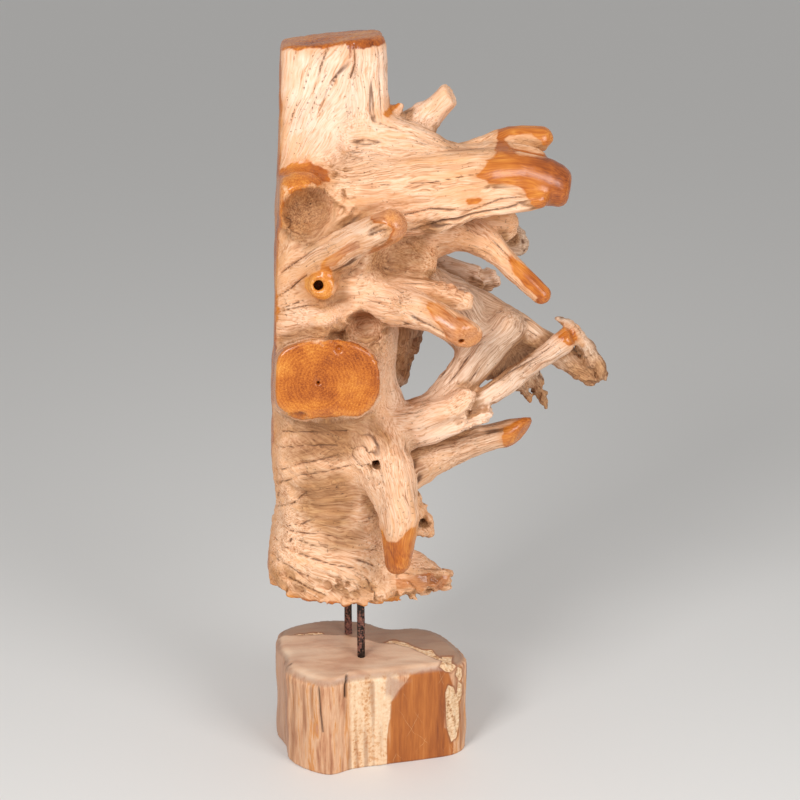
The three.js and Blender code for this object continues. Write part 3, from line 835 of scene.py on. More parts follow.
def inside_ends(points, distances, places):
    """The sawn ends, up to so many millimetres behind the saw cut, and the long sawn face."""
    strength = sawn_depth(points) + SAWN_OIL_DEPTH
    nearest = distances.min(0)
    for row, (name, limb) in enumerate(LIMBS.items()):
        own = distances[row] < nearest + OWN_REACH
        if name in OILED_ENDS:
            end = root_place(*limb["path"][-1][:3])
            depth = plane_distance(*points.T, end, limb["cut"]) + OILED_ENDS[name] / 1000
            strength = np.where(own, np.maximum(strength, depth), strength)
        if name in OILED_TIPS:
            steps = np.diff(smooth_path(limb["path"])[:, :3], axis=0)
            length = np.linalg.norm(steps, axis=1).sum()
            depth = places[row, :, 0] - LIMB_SHIFT * row - OILED_TIPS[name] * length
            strength = np.where(own, np.maximum(strength, depth), strength)
    return np.clip(strength / EDGE_REACH, -1, 1)


def limb_tone(distances, tones):
    """A tone given to whole limbs, melting into the next limb's over about 30 mm."""
    limbs = distances[:-1]
    weight = np.exp((limbs.min(0) - limbs) / TONE_MIX)
    tone = np.array([tones.get(name, 0) for name in LIMBS])
    return (weight * tone[:, None]).sum(0) / weight.sum(0)


def hollow_shading(points, normals):
    """How far the wood around closes a point in, 0 on an open face and towards 1 in a hollow, for painted
    shade.
    """
    total = np.zeros(len(points))
    for reach in SHELTER_REACHES:
        total += np.clip((reach - grid.sample(points + reach * normals)) / reach, 0, 1)
    return total / len(SHELTER_REACHES)


distances, places = all_limb_places(points)
shares = (points - ROOT_AXIS) / SHARE
oiled = np.maximum(inside_areas(shares, OILED_AREAS, SHARE), inside_ends(points, distances, places))
thin_coat = inside_areas(shares, {name: OILED_AREAS[name] for name in THINLY_OILED}, SHARE)
# Brown spots: partly dirt, partly painted shade in the hollows.
stain_and_shade = inside_spots(shares, STAIN_AND_SHADE_SPOTS, SHARE)
normals = grid.slope(points)
height, checks = wood_relief(points, distances, places)
furrowed = np.clip(inside_spots(shares, FURROWED_SPOTS, SHARE) + 0.5, 0, 1)
height *= np.interp(oiled, (-0.3, 0.3), (1, RELIEF_UNDER_OIL)) * (1 + FURROW_GAIN * furrowed)
depths, darkness = long_checks(points, normals, LONG_CHECKS, root_place)
checks = np.maximum(checks, darkness)
# The hollow note measures how closed in each point is; the material paints it brown as shade.
hollow = hollow_shading(points + normals * (height - depths)[:, None], normals)
print("relief from", round(1000 * height.min(), 1), "to", round(1000 * height.max(), 1), "mm")

# %% [markdown]
# ## From points to a mesh that isn't too heavy
# The skin's even quads spend as many points on flat wood as on a furrow. Blender's Decimate modifier
# merges them where the form is flat, so the relief keeps its sharpness with less than half the triangles.
# The notes go through that with the points. The smooth skin's places are noted too, because the grain is
# worked out afresh for the points that are left.

# %% Meshes and their notes
MOST_TRIANGLES = 190_000


def add_mesh(name, vertices, faces):
    """A smooth shaded object in the scene."""
    mesh = bpy.data.meshes.new(name)
    mesh.from_pydata(vertices.tolist(), [], faces)
    mesh.validate()
    mesh.shade_smooth()
    thing = bpy.data.objects.new(name, mesh)
    bpy.context.scene.collection.objects.link(thing)
    return thing


def note(thing, name, values):
    """Writes a number or a place for each vertex, or for each face corner."""
    mesh = thing.data
    domain = "POINT" if len(values) == len(mesh.vertices) else "CORNER"
    kind = "FLOAT" if values.ndim == 1 else "FLOAT_VECTOR"
    attribute = mesh.attributes.new(name, kind, domain)
    attribute.data.foreach_set("value" if values.ndim == 1 else "vector", values.astype(np.float32).ravel())


def thin_out(thing, most):
    """Merges points where the form is flat, until there are no more than so many triangles."""
    before = 2 * len(thing.data.polygons)
    modifier = thing.modifiers.new("thin_out", "DECIMATE")
    modifier.ratio = min(1, most / before)
    graph = bpy.context.evaluated_depsgraph_get()
    thinned = bpy.data.meshes.new_from_object(
        thing.evaluated_get(graph), preserve_all_data_layers=True, depsgraph=graph)
    thing.modifiers.clear()
    thing.data = thinned
    thing.data.shade_smooth()
    print(thing.name, "has", len(thinned.polygons), "faces, from", before, "triangles")


def noted(thing, name):
    """Reads back places that were noted for each vertex."""
    values = np.empty(3 * len(thing.data.vertices))
    thing.data.attributes[name].data.foreach_get("vector", values)
    return values.reshape(-1, 3)


smooth_points = points
points = points + normals * (height - depths)[:, None]
root = add_mesh("root_carving", points, quads.tolist())
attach(root, "root")
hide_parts("teak_root")
for name, values in {
        "oiled": oiled, "stain_and_shade": stain_and_shade, "thinly": thin_coat, "hollow": hollow, "checks": checks,
        "greyed": limb_tone(distances, GREYED), "tanned": limb_tone(distances, TANNED),
        "smooth_place": smooth_points}.items():
    note(root, name, values)
thin_out(root, MOST_TRIANGLES)
points = noted(root, "smooth_place")
distances, places = all_limb_places(points)

# %% [markdown]
# A face must not mix places on two different limbs, because the pattern would smear across it. So each
# face picks the two limbs that it is nearest to, and its corners hold their places on both. A slow sway
# is added to the places through and across, so that the grain waves a little as it does in real teak.

# %% Grain places at the face corners
SWAY_LENGTH, SWAY = 0.050, 0.006
corners = np.empty(len(root.data.loops), int)
root.data.loops.foreach_get("vertex_index", corners)
face_sizes = np.empty(len(root.data.polygons), int)
root.data.polygons.foreach_get("loop_total", face_sizes)
face_of_corner = np.repeat(np.arange(len(face_sizes)), face_sizes)
face_distances = np.stack([np.bincount(face_of_corner, row[corners]) for row in distances]) / face_sizes
order = np.argsort(face_distances, axis=0)[:2]
limb_a, limb_b = order[0][face_of_corner], order[1][face_of_corner]
sway = SWAY * np.column_stack([
    np.zeros(len(points)), noise(points / SWAY_LENGTH), noise(points / SWAY_LENGTH + 8.4)])[corners]
note(root, "grain_a", places[limb_a, corners] + sway)
note(root, "grain_b", places[limb_b, corners] + sway)
further = distances[limb_b, corners] - distances[limb_a, corners]
note(root, "grain_mix", 1 / (1 + np.exp(np.clip(further / MEETING_MIX, -30, 30))))
print("grain places noted at", len(corners), "face corners")

# %% [markdown]
# ## The stand's block
# The block is a slice of teak trunk, split and sawn to stand flat. Its side still has the trunk's upright
# flutes, one facet was sanded smooth, and its top was rubbed down to a soft grey. A ring of points that
# follows its outline is carried up the side, over the rounded edge and in to the middle, so that the
# relief can be as fine as the rings are close.

# %% Block's outline and rings
BLOCK_OUTLINE = [
    (500, -60), (400, 240), (280, 390), (110, 380), (-60, 500), (-290, 495), (-475, 340), (-490, 60),
    (-445, -110), (-400, -330), (-220, -500), (-60, -415), (280, -300), (455, -215),
]
BLOCK_POINT_GAP = 0.0022
BLOCK_EDGE, BLOCK_FOOT = 0.026, 0.003
CURVE_STEPS = 24
TOP_RINGS_SHARE = 0.6


def block_outline():
    """The outline, in metres, with its points evenly spaced."""
    stops = np.array(BLOCK_OUTLINE, float)
    around = [np.roll(stops, shift, axis=0) for shift in (1, 0, -1, -2)]
    curve = np.array([curve_point(*(stop[i] for stop in around), t)
                      for i in range(len(stops)) for t in np.arange(CURVE_STEPS) / CURVE_STEPS])
    low, high = curve.min(0), curve.max(0)
    curve = (curve - (low + high) / 2) / (high - low) * (block_high - block_low)[:2]
    closed = np.vstack([curve, curve[:1]])
    run = np.concatenate([[0], np.cumsum(np.linalg.norm(np.diff(closed, axis=0), axis=1))])
    even = np.linspace(0, run[-1], int(run[-1] / BLOCK_POINT_GAP), endpoint=False)
    return np.stack([np.interp(even, run, closed[:, i]) for i in range(2)], axis=1)


def block_profile():
    """How far each ring is drawn in from the outline, and its height, from the foot to the flat top."""
    top = block_high[2]
    turns = np.radians(np.linspace(0, 90, max(6, int(1.5 * BLOCK_EDGE / BLOCK_POINT_GAP))))
    heights = np.arange(BLOCK_FOOT, top - BLOCK_EDGE, BLOCK_POINT_GAP)
    edge = [((1 - math.cos(turn)) * BLOCK_EDGE, top - (1 - math.sin(turn)) * BLOCK_EDGE) for turn in turns]
    return [(BLOCK_FOOT, 0.0), *((0.0, height) for height in heights), *edge]


def ring_quads(rings, around):
    """Joins rings that all have the same number of points."""
    ring, step = np.meshgrid(np.arange(rings - 1), np.arange(around), indexing="ij")
    here, onward = ring * around + step, ring * around + (step + 1) % around
    return np.stack([here, onward, onward + around, here + around], axis=-1).reshape(-1, 4)


outline = block_outline()
radius = np.linalg.norm(outline, axis=1)
rings = []
for inset, height in block_profile():
    share = 1 - inset / radius
    rings.append(np.column_stack([outline * share[:, None], np.full(len(outline), height)]))
rim = rings[-1]
for share in np.linspace(1, 0, int(TOP_RINGS_SHARE * radius.mean() / BLOCK_POINT_GAP))[1:-1]:
    rings.append(rim * (share, share, 1))
block_points = np.vstack(rings + [[(0, 0, block_high[2])], [(0, 0, 0)]])
block_quads = ring_quads(len(rings), len(outline))
print("block:", len(rings), "rings of", len(outline), "points")

# %% [markdown]
# What the block's sides look like changes from one part to the next, so each is noted as an area again,
# here in millimetres. A crooked step crosses the top behind the middle, where the slice split: a line of
# x and y, the step's depth, and how wide its eaten lip is at some places along x.

# %% Block's areas
BLOCK_SANDED = {"facet": dict(y=(-170, -40), outline=[
    (36, -10), (38, 60), (46, 108), (46, 146), (60, 172), (82, 198), (112, 212), (160, 212), (176, 160),
    (160, 120), (158, 70), (176, 30), (176, -10)])}
BLOCK_CORKY = {
    "side_long": dict(
        y=(-120, -30), outline=[(164, 168), (176, 160), (186, 128), (190, 80), (182, 40), (172, 32),
        (162, 70), (160, 110), (158, 150)]),
    "side_small": dict(
        y=(-100, -20), outline=[(186, 168), (193, 160), (195, 132), (189, 122), (184, 140)]),
    "edge_high": dict(
        y=(-100, -30), outline=[(152, 222), (170, 222), (182, 206), (170, 196), (156, 202), (144, 212)]),
    "edge_low": dict(y=(-90, -20), outline=[(184, 204), (192, 196), (194, 176), (188, 170), (181, 186)]),
}
BLOCK_CREAMY = {"front": dict(y=(-170, -60), outline=[
    (-48, -10), (-46, 120), (-44, 212), (60, 212), (44, 170), (46, 108), (38, 60), (36, -10)])}
BLOCK_GREY_AND_SHEEN = {
    "lobe": dict(y=(-90, 160), outline=[(-220, -10), (-220, 230), (-150, 230), (-146, 120), (-152, -10)]),
    # A pale sheen painted on this front corner; the lobe's grey is dust.
    "sheen_corner": dict(y=(-170, -60), outline=[(36, 206), (78, 190), (66, 176), (48, 154), (36, 172)]),
}
BLOCK_SPLIT = [(-220, 58), (-150, 56), (-105, 58), (-55, 60), (-12, 40), (21, 24), (52, 20), (84, -4),
               (115, -30), (146, -56), (220, -130)]
SPLIT_DEPTH = 0.006
SPLIT_WIDTHS = [(-175, -3), (-155, 14), (-105, 14), (-85, -3), (20, 2), (60, 22), (130, 30), (165, 12)]
BLOCK_CHECKS = {
    "front_split": dict(path=[(-44, -120, 222), (-46, -134, 200), (-47, -134, 172)], width=2.2, depth=7),
    "front_fine": dict(path=[(-104, -148, 205), (-100, -148, 150), (-96, -148, 100)], width=1.8, depth=3),
    "lobe_groove": dict(path=[(-163, -70, 214), (-166, -72, 120), (-163, -72, 20)], width=3.5, depth=5),
    "lobe_line": dict(path=[(-182, -40, 205), (-184, -42, 100), (-182, -42, 20)], width=2.5, depth=3),
}
MM = 0.001
print(len(BLOCK_CHECKS), "long checks and a split from", BLOCK_SPLIT[0], "to", BLOCK_SPLIT[-1])

# %% Block's relief
BLOCK_FLUTE, BLOCK_FINE_FLUTE, BLOCK_LUMP, BLOCK_GRAIN = 0.0030, 0.0011, 0.0040, 0.0008
BLOCK_FLUTE_SIZE, BLOCK_FINE_SIZE = (0.016, 0.016, 0.20), (0.0055, 0.0055, 0.07)
BLOCK_LUMP_SIZE, BLOCK_GRAIN_SIZE = 0.085, 0.0042
WANDER, WANDER_SIZE, LIP_SIZE = 3, 0.018, 0.03
CORK_DEPTH, RELIEF_SINK = 0.0018, 0.0015


def block_place(x, y, z):
    return np.array((x, y, z), float) * MM


def rings_normals(points, rings, around):
    """The outward direction at each point of a stack of rings, from its neighbours."""
    grid_points = points[:rings * around].reshape(rings, around, 3)
    along = np.roll(grid_points, -1, axis=1) - np.roll(grid_points, 1, axis=1)
    up = np.gradient(grid_points, axis=0)
    normals = np.cross(along, up).reshape(-1, 3)
    normals /= np.linalg.norm(normals, axis=1, keepdims=True) + 1e-12
    return np.vstack([normals, np.zeros((len(points) - len(normals), 3))])


block_normals = rings_normals(block_points, len(rings), len(outline))
millimetres = block_points / MM
upright = 1 - np.clip(block_normals[:, 2], 0, 1)
sanded = inside_areas(millimetres, BLOCK_SANDED, MM)
corky = inside_areas(millimetres, BLOCK_CORKY, MM)
wander = WANDER * noise(block_points / WANDER_SIZE)
behind = millimetres[:, 1] - np.interp(millimetres[:, 0], *zip(*BLOCK_SPLIT)) + wander
on_top = np.clip(2 * block_normals[:, 2] - 0.6, 0, 1)
split_width = np.interp(millimetres[:, 0], *zip(*SPLIT_WIDTHS)) * (1 + 0.5 * noise(block_points / LIP_SIZE))
split_edge = np.minimum(behind + 2, split_width - behind) * MM
corky = np.maximum(corky, np.where(on_top > 0.5, split_edge / EDGE_REACH, -1))
rough = np.interp(sanded, (-0.2, 0.1), (1, 0.12))
flutes = 0.45 - np.abs(noise(block_points / BLOCK_FLUTE_SIZE))
fine = noise(block_points / BLOCK_FINE_SIZE)
grain = noise(block_points / BLOCK_GRAIN_SIZE) * np.interp(corky, (-0.1, 0.05), (0.25, 1.0))
lumps = noise(block_points / BLOCK_LUMP_SIZE + 4.1) * np.interp(sanded, (-0.3, 0.3), (1, 0.4))
block_height = rough * upright * (BLOCK_FLUTE * flutes + BLOCK_FINE_FLUTE * fine)
block_height += BLOCK_GRAIN * rough * grain + BLOCK_LUMP * lumps
block_height -= on_top * SPLIT_DEPTH * np.clip(behind / 4, 0, 1)
block_height -= np.interp(corky, (-0.05, 0.05), (0, CORK_DEPTH))
cuts, block_darkness = long_checks(block_points, block_normals, BLOCK_CHECKS, block_place)
standing = block_points[:, 2] > BLOCK_FOOT / 2
shift = (block_height - cuts - RELIEF_SINK) * standing
block_points = block_points + block_normals * shift[:, None]
block_points[-2, 2] -= SPLIT_DEPTH / 2
print("block relief from", round(1000 * shift.min(), 1), "to", round(1000 * shift.max(), 1), "mm")

# %% Block's mesh and its notes
RUBBED_HEIGHTS = (204, 218)
# A band round the rounded top edge, where a purple-grey sheen is painted.
SHEEN_BAND_HEIGHT, SHEEN_BAND_WIDTH = 209, 7
here = np.arange(len(outline))
onward = np.roll(here, -1)
last_ring = (len(rings) - 1) * len(outline)
middle = np.full(len(outline), len(block_points) - 2)
fan = np.column_stack([last_ring + here, last_ring + onward, middle])
foot = np.column_stack([onward, here, middle + 1])
block = add_mesh("block_of_teak", block_points, block_quads.tolist() + fan.tolist() + foot.tolist())
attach(block, "root")
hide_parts("stand_block")
for name, values in {
        "sanded": sanded, "corky": corky, "checks": block_darkness,
        "creamy": inside_areas(millimetres, BLOCK_CREAMY, MM),
        "greyed": inside_areas(millimetres, BLOCK_GREY_AND_SHEEN, MM),
        "on_top": np.interp(millimetres[:, 2], RUBBED_HEIGHTS, (0, 1)),
        # Painted shadow of the root on the block's top, behind the split.
        "rear_top_shadow": on_top * np.clip((behind - 2) / 8, 0, 1),
        # Painted sheen along the rounded top edge.
        "edge_sheen": np.exp(-((millimetres[:, 2] - SHEEN_BAND_HEIGHT) / SHEEN_BAND_WIDTH) ** 2),
        # Painted shade in the valleys of the flutes.
        "groove_shade": np.clip(0.5 - flutes, 0, 1) * upright}.items():
    note(block, name, values)

# %% [markdown]
# ## The rods
# Two black steel bars were driven into the block and the root. They rusted a little where hands and damp
# reached them, which left fine pits. Both ends are hidden in the wood.

# %% Rods
ROD_SIDES, ROD_STEP = 64, 0.0014
PIT_DEPTH, PIT_SIZE = 0.0001375, 0.0035
WEAR_DEPTH, WEAR_SIZE = 0.000275, (0.02, 0.02, 0.05)
for name in ("front_rod", "rear_rod"):
    low, high = (np.array(corner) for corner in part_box(name))
    middle, reach = (low + high) / 2, (high - low)[0] / 2
    turns = np.arange(ROD_SIDES) * FULL_TURN / ROD_SIDES
    circle = np.column_stack([np.cos(turns), np.sin(turns), 0 * turns])
    levels = np.arange(low[2], high[2], ROD_STEP)
    rod_points = np.vstack([(middle[0], middle[1], level) + circle * reach for level in levels])
    outward = np.tile(circle, (len(levels), 1))
    depth = PIT_DEPTH * (1 + noise(rod_points / PIT_SIZE))
    depth += WEAR_DEPTH * (1 + noise(rod_points / WEAR_SIZE))
    rod_points = rod_points - outward * depth[:, None]
    rod = add_mesh(name + "_steel", rod_points, ring_quads(len(levels), ROD_SIDES).tolist())
    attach(rod, "root")
    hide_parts(name)
    print(name, "is", round(2 * reach * 1000, 1), "mm thick")

# %% [markdown]
# ## Materials
# Colours are written as the hex values that a paint chart would give, and one function turns them into
# the linear light that a renderer works in. A second one adds a node to a material, with its settings and
# whatever feeds its sockets.

# %% Colours and nodes
def linear(colour):
    """The linear red, green, blue and alpha of a hex colour."""
    channels = [int(colour[i:i + 2], 16) / 255 for i in (1, 3, 5)]
    return [c / 12.92 if c <= 0.04045 else ((c + 0.055) / 1.055) ** 2.4 for c in channels] + [1]


def add_node(material, kind, settings=None, inputs=None, stops=()):
    """Adds a node, sets it up, and links or sets its sockets. Stops are the colours of a ramp."""
    node = material.node_tree.nodes.new("ShaderNode" + kind)
    for name, value in (settings or {}).items():
        setattr(node, name, value)
    for place, value in (inputs or {}).items():
        if isinstance(value, bpy.types.NodeSocket):
            material.node_tree.links.new(value, node.inputs[place])
        else:
            node.inputs[place].default_value = value
    for i, (position, colour) in enumerate(stops):
        stop = node.color_ramp.elements[i] if i < 2 else node.color_ramp.elements.new(position)
        stop.position = position
        stop.color = linear(colour)
    return node


def new_material(name):
    material = bpy.data.materials.new(name)
    material.use_nodes = True
    material.node_tree.nodes.clear()
    return material


# %% [markdown]
# ### Teak: one pattern, two finishes
# Teak is a coarse, oily hardwood. Raw and weathered it is cream to tan, with brown streaks along the
# grain, short dark pores and fine checks. Oiled and rubbed it turns honey orange and glossy, and its
# growth rings show on the sawn ends. Both finishes share one pattern of the wood itself: noise that is
# stretched to the size of a streak, a fibre or a check, in metres along, through and across the limb.

# %% Wood pattern
STREAK, FIBRE, CHECK_LINE = (0.22, 0.016, 0.016), (0.060, 0.0026, 0.0026), (0.16, 0.011, 0.011)
RING_WIDTH = 0.0065


def stretched_noise(material, place, size, detail, distortion=0.0):
    """Noise whose spots are as long, thick and wide as the size says."""
    rates = [1 / side for side in size]
    scaled = add_node(material, "VectorMath", {"operation": "MULTIPLY"}, {0: place, 1: rates}).outputs[0]
    return add_node(material, "TexNoise", {}, {
        "Vector": scaled, "Scale": 1.0, "Detail": detail, "Distortion": distortion}).outputs[0]


def wood_pattern(material, places):
    """Streaks, fibres, check lines and growth rings, from places along, through and across a limb."""
    place = add_node(material, "Attribute", {"attribute_name": places}).outputs["Vector"]
    rings = add_node(material, "TexWave", {"wave_type": "RINGS", "rings_direction": "X"}, {
        "Vector": place, "Scale": FULL_TURN / (20 * RING_WIDTH), "Distortion": 3.0, "Detail": 2.0,
        "Detail Scale": 0.6,
    })
    bands = [stretched_noise(material, place, size, detail)
             for size, detail in ((STREAK, 3.0), (FIBRE, 1.0), (CHECK_LINE, 1.0))]
    return [*bands, rings.outputs["Fac"]]


# %% [markdown]
# A finish never ends in a straight line: oil creeps along the streaks and dirt gathers in clouds. So a
# cover is worked out from the note of where the finish is, with a share of the wood's own patterns added,
# and read off between a start and a full value. Coats are then laid over one another, each by its cover.

# %% Covers and coats
SMOOTH = {"interpolation_type": "SMOOTHSTEP"}
COLOURS = {"data_type": "RGBA"}
TIMES_PLUS = {"operation": "MULTIPLY_ADD"}
LARGER = {"operation": "MAXIMUM"}


def cover(material, base, patterns, start, full, most=1.0):
    """How much of a finish lies at each place, from none below start to the most of it above full."""
    for pattern, share in patterns:
        base = add_node(material, "Math", TIMES_PLUS, {0: pattern, 1: share, 2: base}).outputs[0]
    return add_node(material, "MapRange", SMOOTH, {0: base, 1: start, 2: full, 4: most}).outputs[0]


def coated(material, colour, coats):
    """Lays coats over a colour, one after the other."""
    for share, coat in coats:
        colour = add_node(material, "Mix", COLOURS, {0: share, 6: colour, 7: coat}).outputs[2]
    return colour


def end_material(material, colour, roughness, bump, **more):
    """Ends a material with its surface and a bump of a given strength, depth in metres and pattern."""
    strength, depth, pattern = bump
    raised = add_node(material, "Bump", {}, {"Strength": strength, "Distance": depth, "Height": pattern})
    surface = add_node(material, "BsdfPrincipled", {}, {
        "Base Color": colour, "Roughness": roughness, "Normal": raised.outputs[0], **more})
    add_node(material, "OutputMaterial", {}, {"Surface": surface.outputs[0]})
    print(material.name, "has", len(material.node_tree.nodes), "nodes")
    return material


# %% [markdown]
# The root's raw wood runs from sunned cream through tan to grey, and brown where dirt stayed; the same
# brown is painted as shade into the hollows. Its pores and checks are dark. Golden wisps of heartwood show
# in both finishes. The oil's edge follows the streaks, and just outside it the wood is soaked a little
# darker.

# %% Root's material
PORE_SIZE, CLOUD_SIZE, GOLD_SIZE = 0.0055, 0.070, 0.11
ROOT_SHADES = {
    "raw": [(0.30, "#C2885F"), (0.39, "#E0AE8A"), (0.46, "#EDC2A2"), (0.54, "#F3CFB4"), (0.70, "#F8DCC8")],
    "tan": [(0.30, "#915631"), (0.39, "#C2824F"), (0.46, "#DCA070"), (0.54, "#E9B78A"), (0.70, "#F4D0AC")],
    "grey": [(0.30, "#5F4230"), (0.42, "#A07C60"), (0.52, "#C6A488"), (0.68, "#DFC6AC")],
    "brown": [(0.28, "#6B4224"), (0.42, "#8F5D32"), (0.54, "#AA7544"), (0.70, "#C7945E")],
    "honey": [(0.34, "#6E3210"), (0.43, "#A0511A"), (0.50, "#BC6924"), (0.57, "#CF7F31"),
              (0.67, "#E6A04E")],
}
GOLD_WISP, CHECK_DARK, SOAKED = (linear(colour) for colour in ("#E3A064", "#5C3519", "#D08A4C"))
WOOD_IOR = 1.5
RAW_ROUGHNESS, OILED_ROUGHNESS = 0.66, 0.27
RAW_BUMP, OILED_BUMP, ROOT_BUMP_DEPTH = 0.85, 0.10, 0.0022


def dark_lines(teak, check_lines, checks, clouds, specks):
    """Pores and fine drying lines, faint, and the open checks, dark."""
    pores = cover(teak, specks, [(clouds, 0.25)], 0.79, 0.86, 0.55)
    centred = add_node(teak, "Math", {"operation": "SUBTRACT"}, {0: check_lines, 1: 0.5}).outputs[0]
    gap = add_node(teak, "Math", {"operation": "ABSOLUTE"}, {0: centred}).outputs[0]
    width = add_node(teak, "MapRange", {}, {0: clouds, 1: 0.50, 2: 0.68, 3: 0.0, 4: 0.016}).outputs[0]
    lines = add_node(teak, "Math", {"operation": "LESS_THAN"}, {0: gap, 1: width}).outputs[0]
    faint = add_node(teak, "Math", TIMES_PLUS, {0: lines, 1: 0.35, 2: pores}).outputs[0]
    open_checks = cover(teak, checks, [], 0.35, 1.1)
    return add_node(teak, "Math", LARGER, {0: faint, 1: open_checks}).outputs[0]


def root_teak():
    teak = new_material("teak_raw_and_oiled")
    share = add_node(teak, "Attribute", {"attribute_name": "grain_mix"}).outputs["Fac"]
    streaks, fibres, check_lines, rings = (
        add_node(teak, "Mix", {}, {0: share, 2: a, 3: b}).outputs[0]
        for a, b in zip(wood_pattern(teak, "grain_a"), wood_pattern(teak, "grain_b")))
    oiled, thinly, stain_and_shade, hollow, checks, greyed, tanned = (
        add_node(teak, "Attribute", {"attribute_name": name}).outputs["Fac"]
        for name in ("oiled", "thinly", "stain_and_shade", "hollow", "checks", "greyed", "tanned"))
    where = add_node(teak, "TexCoord").outputs["Object"]
    clouds, specks, gold = (
        add_node(teak, "TexNoise", {}, {"Vector": where, "Scale": 1 / size, "Detail": detail}).outputs[0]
        for size, detail in ((CLOUD_SIZE, 4.0), (PORE_SIZE, 2.0), (GOLD_SIZE, 3.0)))

    tone = add_node(teak, "Mix", {}, {0: 0.60, 2: streaks, 3: fibres}).outputs[0]
    ring_tone = add_node(teak, "Mix", {}, {0: 0.08, 2: tone, 3: rings}).outputs[0]
    glow = add_node(teak, "Mix", {}, {0: 0.55, 2: ring_tone, 3: gold}).outputs[0]
    raw, tan, grey, brown, honey = (
        add_node(teak, "ValToRGB", {}, {0: glow if name == "honey" else tone}, stops=stops).outputs[0]
        for name, stops in ROOT_SHADES.items())

    in_gold = cover(teak, gold, [(streaks, 1.2), (tanned, 0.12)], 1.10, 1.45, 0.55)
    # Brown spots, partly dirt and partly painted shade in the hollows.
    in_stain_and_shade = cover(teak, stain_and_shade, [(clouds, 5.0), (streaks, 1.2)], 2.2, 4.4, 0.85)
    # Painted shade: the hollow note darkens the hollows brown.
    hollow_shade = cover(teak, hollow, [(clouds, 0.35)], 0.30, 0.74, 0.8)
    dirt_and_shade = add_node(teak, "Math", LARGER, {0: in_stain_and_shade, 1: hollow_shade}).outputs[0]
    cracks = dark_lines(teak, check_lines, checks, clouds, specks)

    oil_edge = [(clouds, 0.9), (streaks, 0.8)]
    in_oil = cover(teak, oiled, oil_edge, 0.79, 0.97)
    soaked = cover(teak, oiled, oil_edge, -0.05, 0.85, 0.38)
    oil_film = add_node(teak, "MapRange", SMOOTH, {0: thinly, 1: -0.1, 2: 0.2, 3: 1.0, 4: 0.62}).outputs[0]
    oil_depth = add_node(teak, "Math", {"operation": "MULTIPLY"}, {0: in_oil, 1: oil_film}).outputs[0]
    colour = coated(teak, raw, [
        (tanned, tan), (in_gold, GOLD_WISP), (greyed, grey), (dirt_and_shade, brown), (cracks, CHECK_DARK),
        (soaked, SOAKED), (oil_depth, honey)])

    roughness = add_node(teak, "Mix", {}, {0: in_oil, 2: RAW_ROUGHNESS, 3: OILED_ROUGHNESS}).outputs[0]
    grain = add_node(teak, "Mix", {}, {0: 0.5, 2: streaks, 3: fibres}).outputs[0]
    cut = add_node(teak, "Math", TIMES_PLUS, {0: cracks, 1: -0.5, 2: grain}).outputs[0]
    speckled = add_node(teak, "Math", TIMES_PLUS, {0: specks, 1: 0.35, 2: cut}).outputs[0]
    strength = add_node(teak, "Mix", {}, {0: in_oil, 2: RAW_BUMP, 3: OILED_BUMP}).outputs[0]
    return end_material(teak, colour, roughness, (strength, ROOT_BUMP_DEPTH, speckled), IOR=WOOD_IOR)


root.data.materials.append(root_teak())

# %% [markdown]
# ### Teak: the block's trunk wood
# The block is the same wood in another state. Its outside is streaked cream, tan and grey, because it was
# split, not cut. The sanded facet shows brown heartwood with a few pale scratches, and the hand-rubbed
# top is greyish and softly shiny. Where insects and damp ate the sapwood it is corky and pale. Light and
# shade are painted in as well: the root's shadow on the top behind the split, a purple-grey sheen along
# the rounded top edge, a pale sheen on one front corner and shade in the flute valleys.

# %% Block's material
BLOCK_PATTERNS = {
    "streaks": (0.020, 0.020, 0.22), "fibres": (0.00385, 0.00385, 0.0455), "clouds": (0.111, 0.111, 0.25),
    "specks": (0.00667, 0.00667, 0.00667), "brushed": (0.0833, 0.025, 0.0833),
}
BLOCK_SHADES = {
    "split": [(0.28, "#7A452A"), (0.38, "#AE7250"), (0.46, "#CE9770"), (0.53, "#DFB18C"), (0.60, "#D18C4E"),
              (0.72, "#B97F66")],
    "cream": [(0.34, "#96592F"), (0.42, "#D39C6C"), (0.50, "#E9C29A"), (0.66, "#F4DAB9")],
    "heart": [(0.30, "#7E3C14"), (0.48, "#A65B20"), (0.60, "#B76A2A"), (0.75, "#C9803E")],
    "cork": [(0.34, "#A87850"), (0.42, "#D5AA80"), (0.54, "#E3BF98"), (0.70, "#EED3B0")],
    "worn": [(0.36, "#C79A7C"), (0.50, "#DCB595"), (0.66, "#E8C9AB")],
}
GROOVE_SHADE, SCRATCH, DUST_AND_SHEEN, EDGE_SHEEN, REAR_SHADOW, CORK_RIM, SPLIT_DARK = (linear(colour) for colour in (
    "#96603F", "#E9BE86", "#B8937E", "#A5836E", "#8E6B55", "#8A4E28", "#3F281A"))
SCRATCH_LEANS = ((1.0, 0.55), (0.9, -0.5))
SCRATCH_GAP, SCRATCH_SHARE = 0.030, 0.02
SPLIT_ROUGHNESS, SANDED_ROUGHNESS, CORK_ROUGHNESS = 0.72, 0.40, 0.8
SPLIT_BUMP, SANDED_BUMP, BLOCK_BUMP_DEPTH = 0.8, 0.15, 0.0020


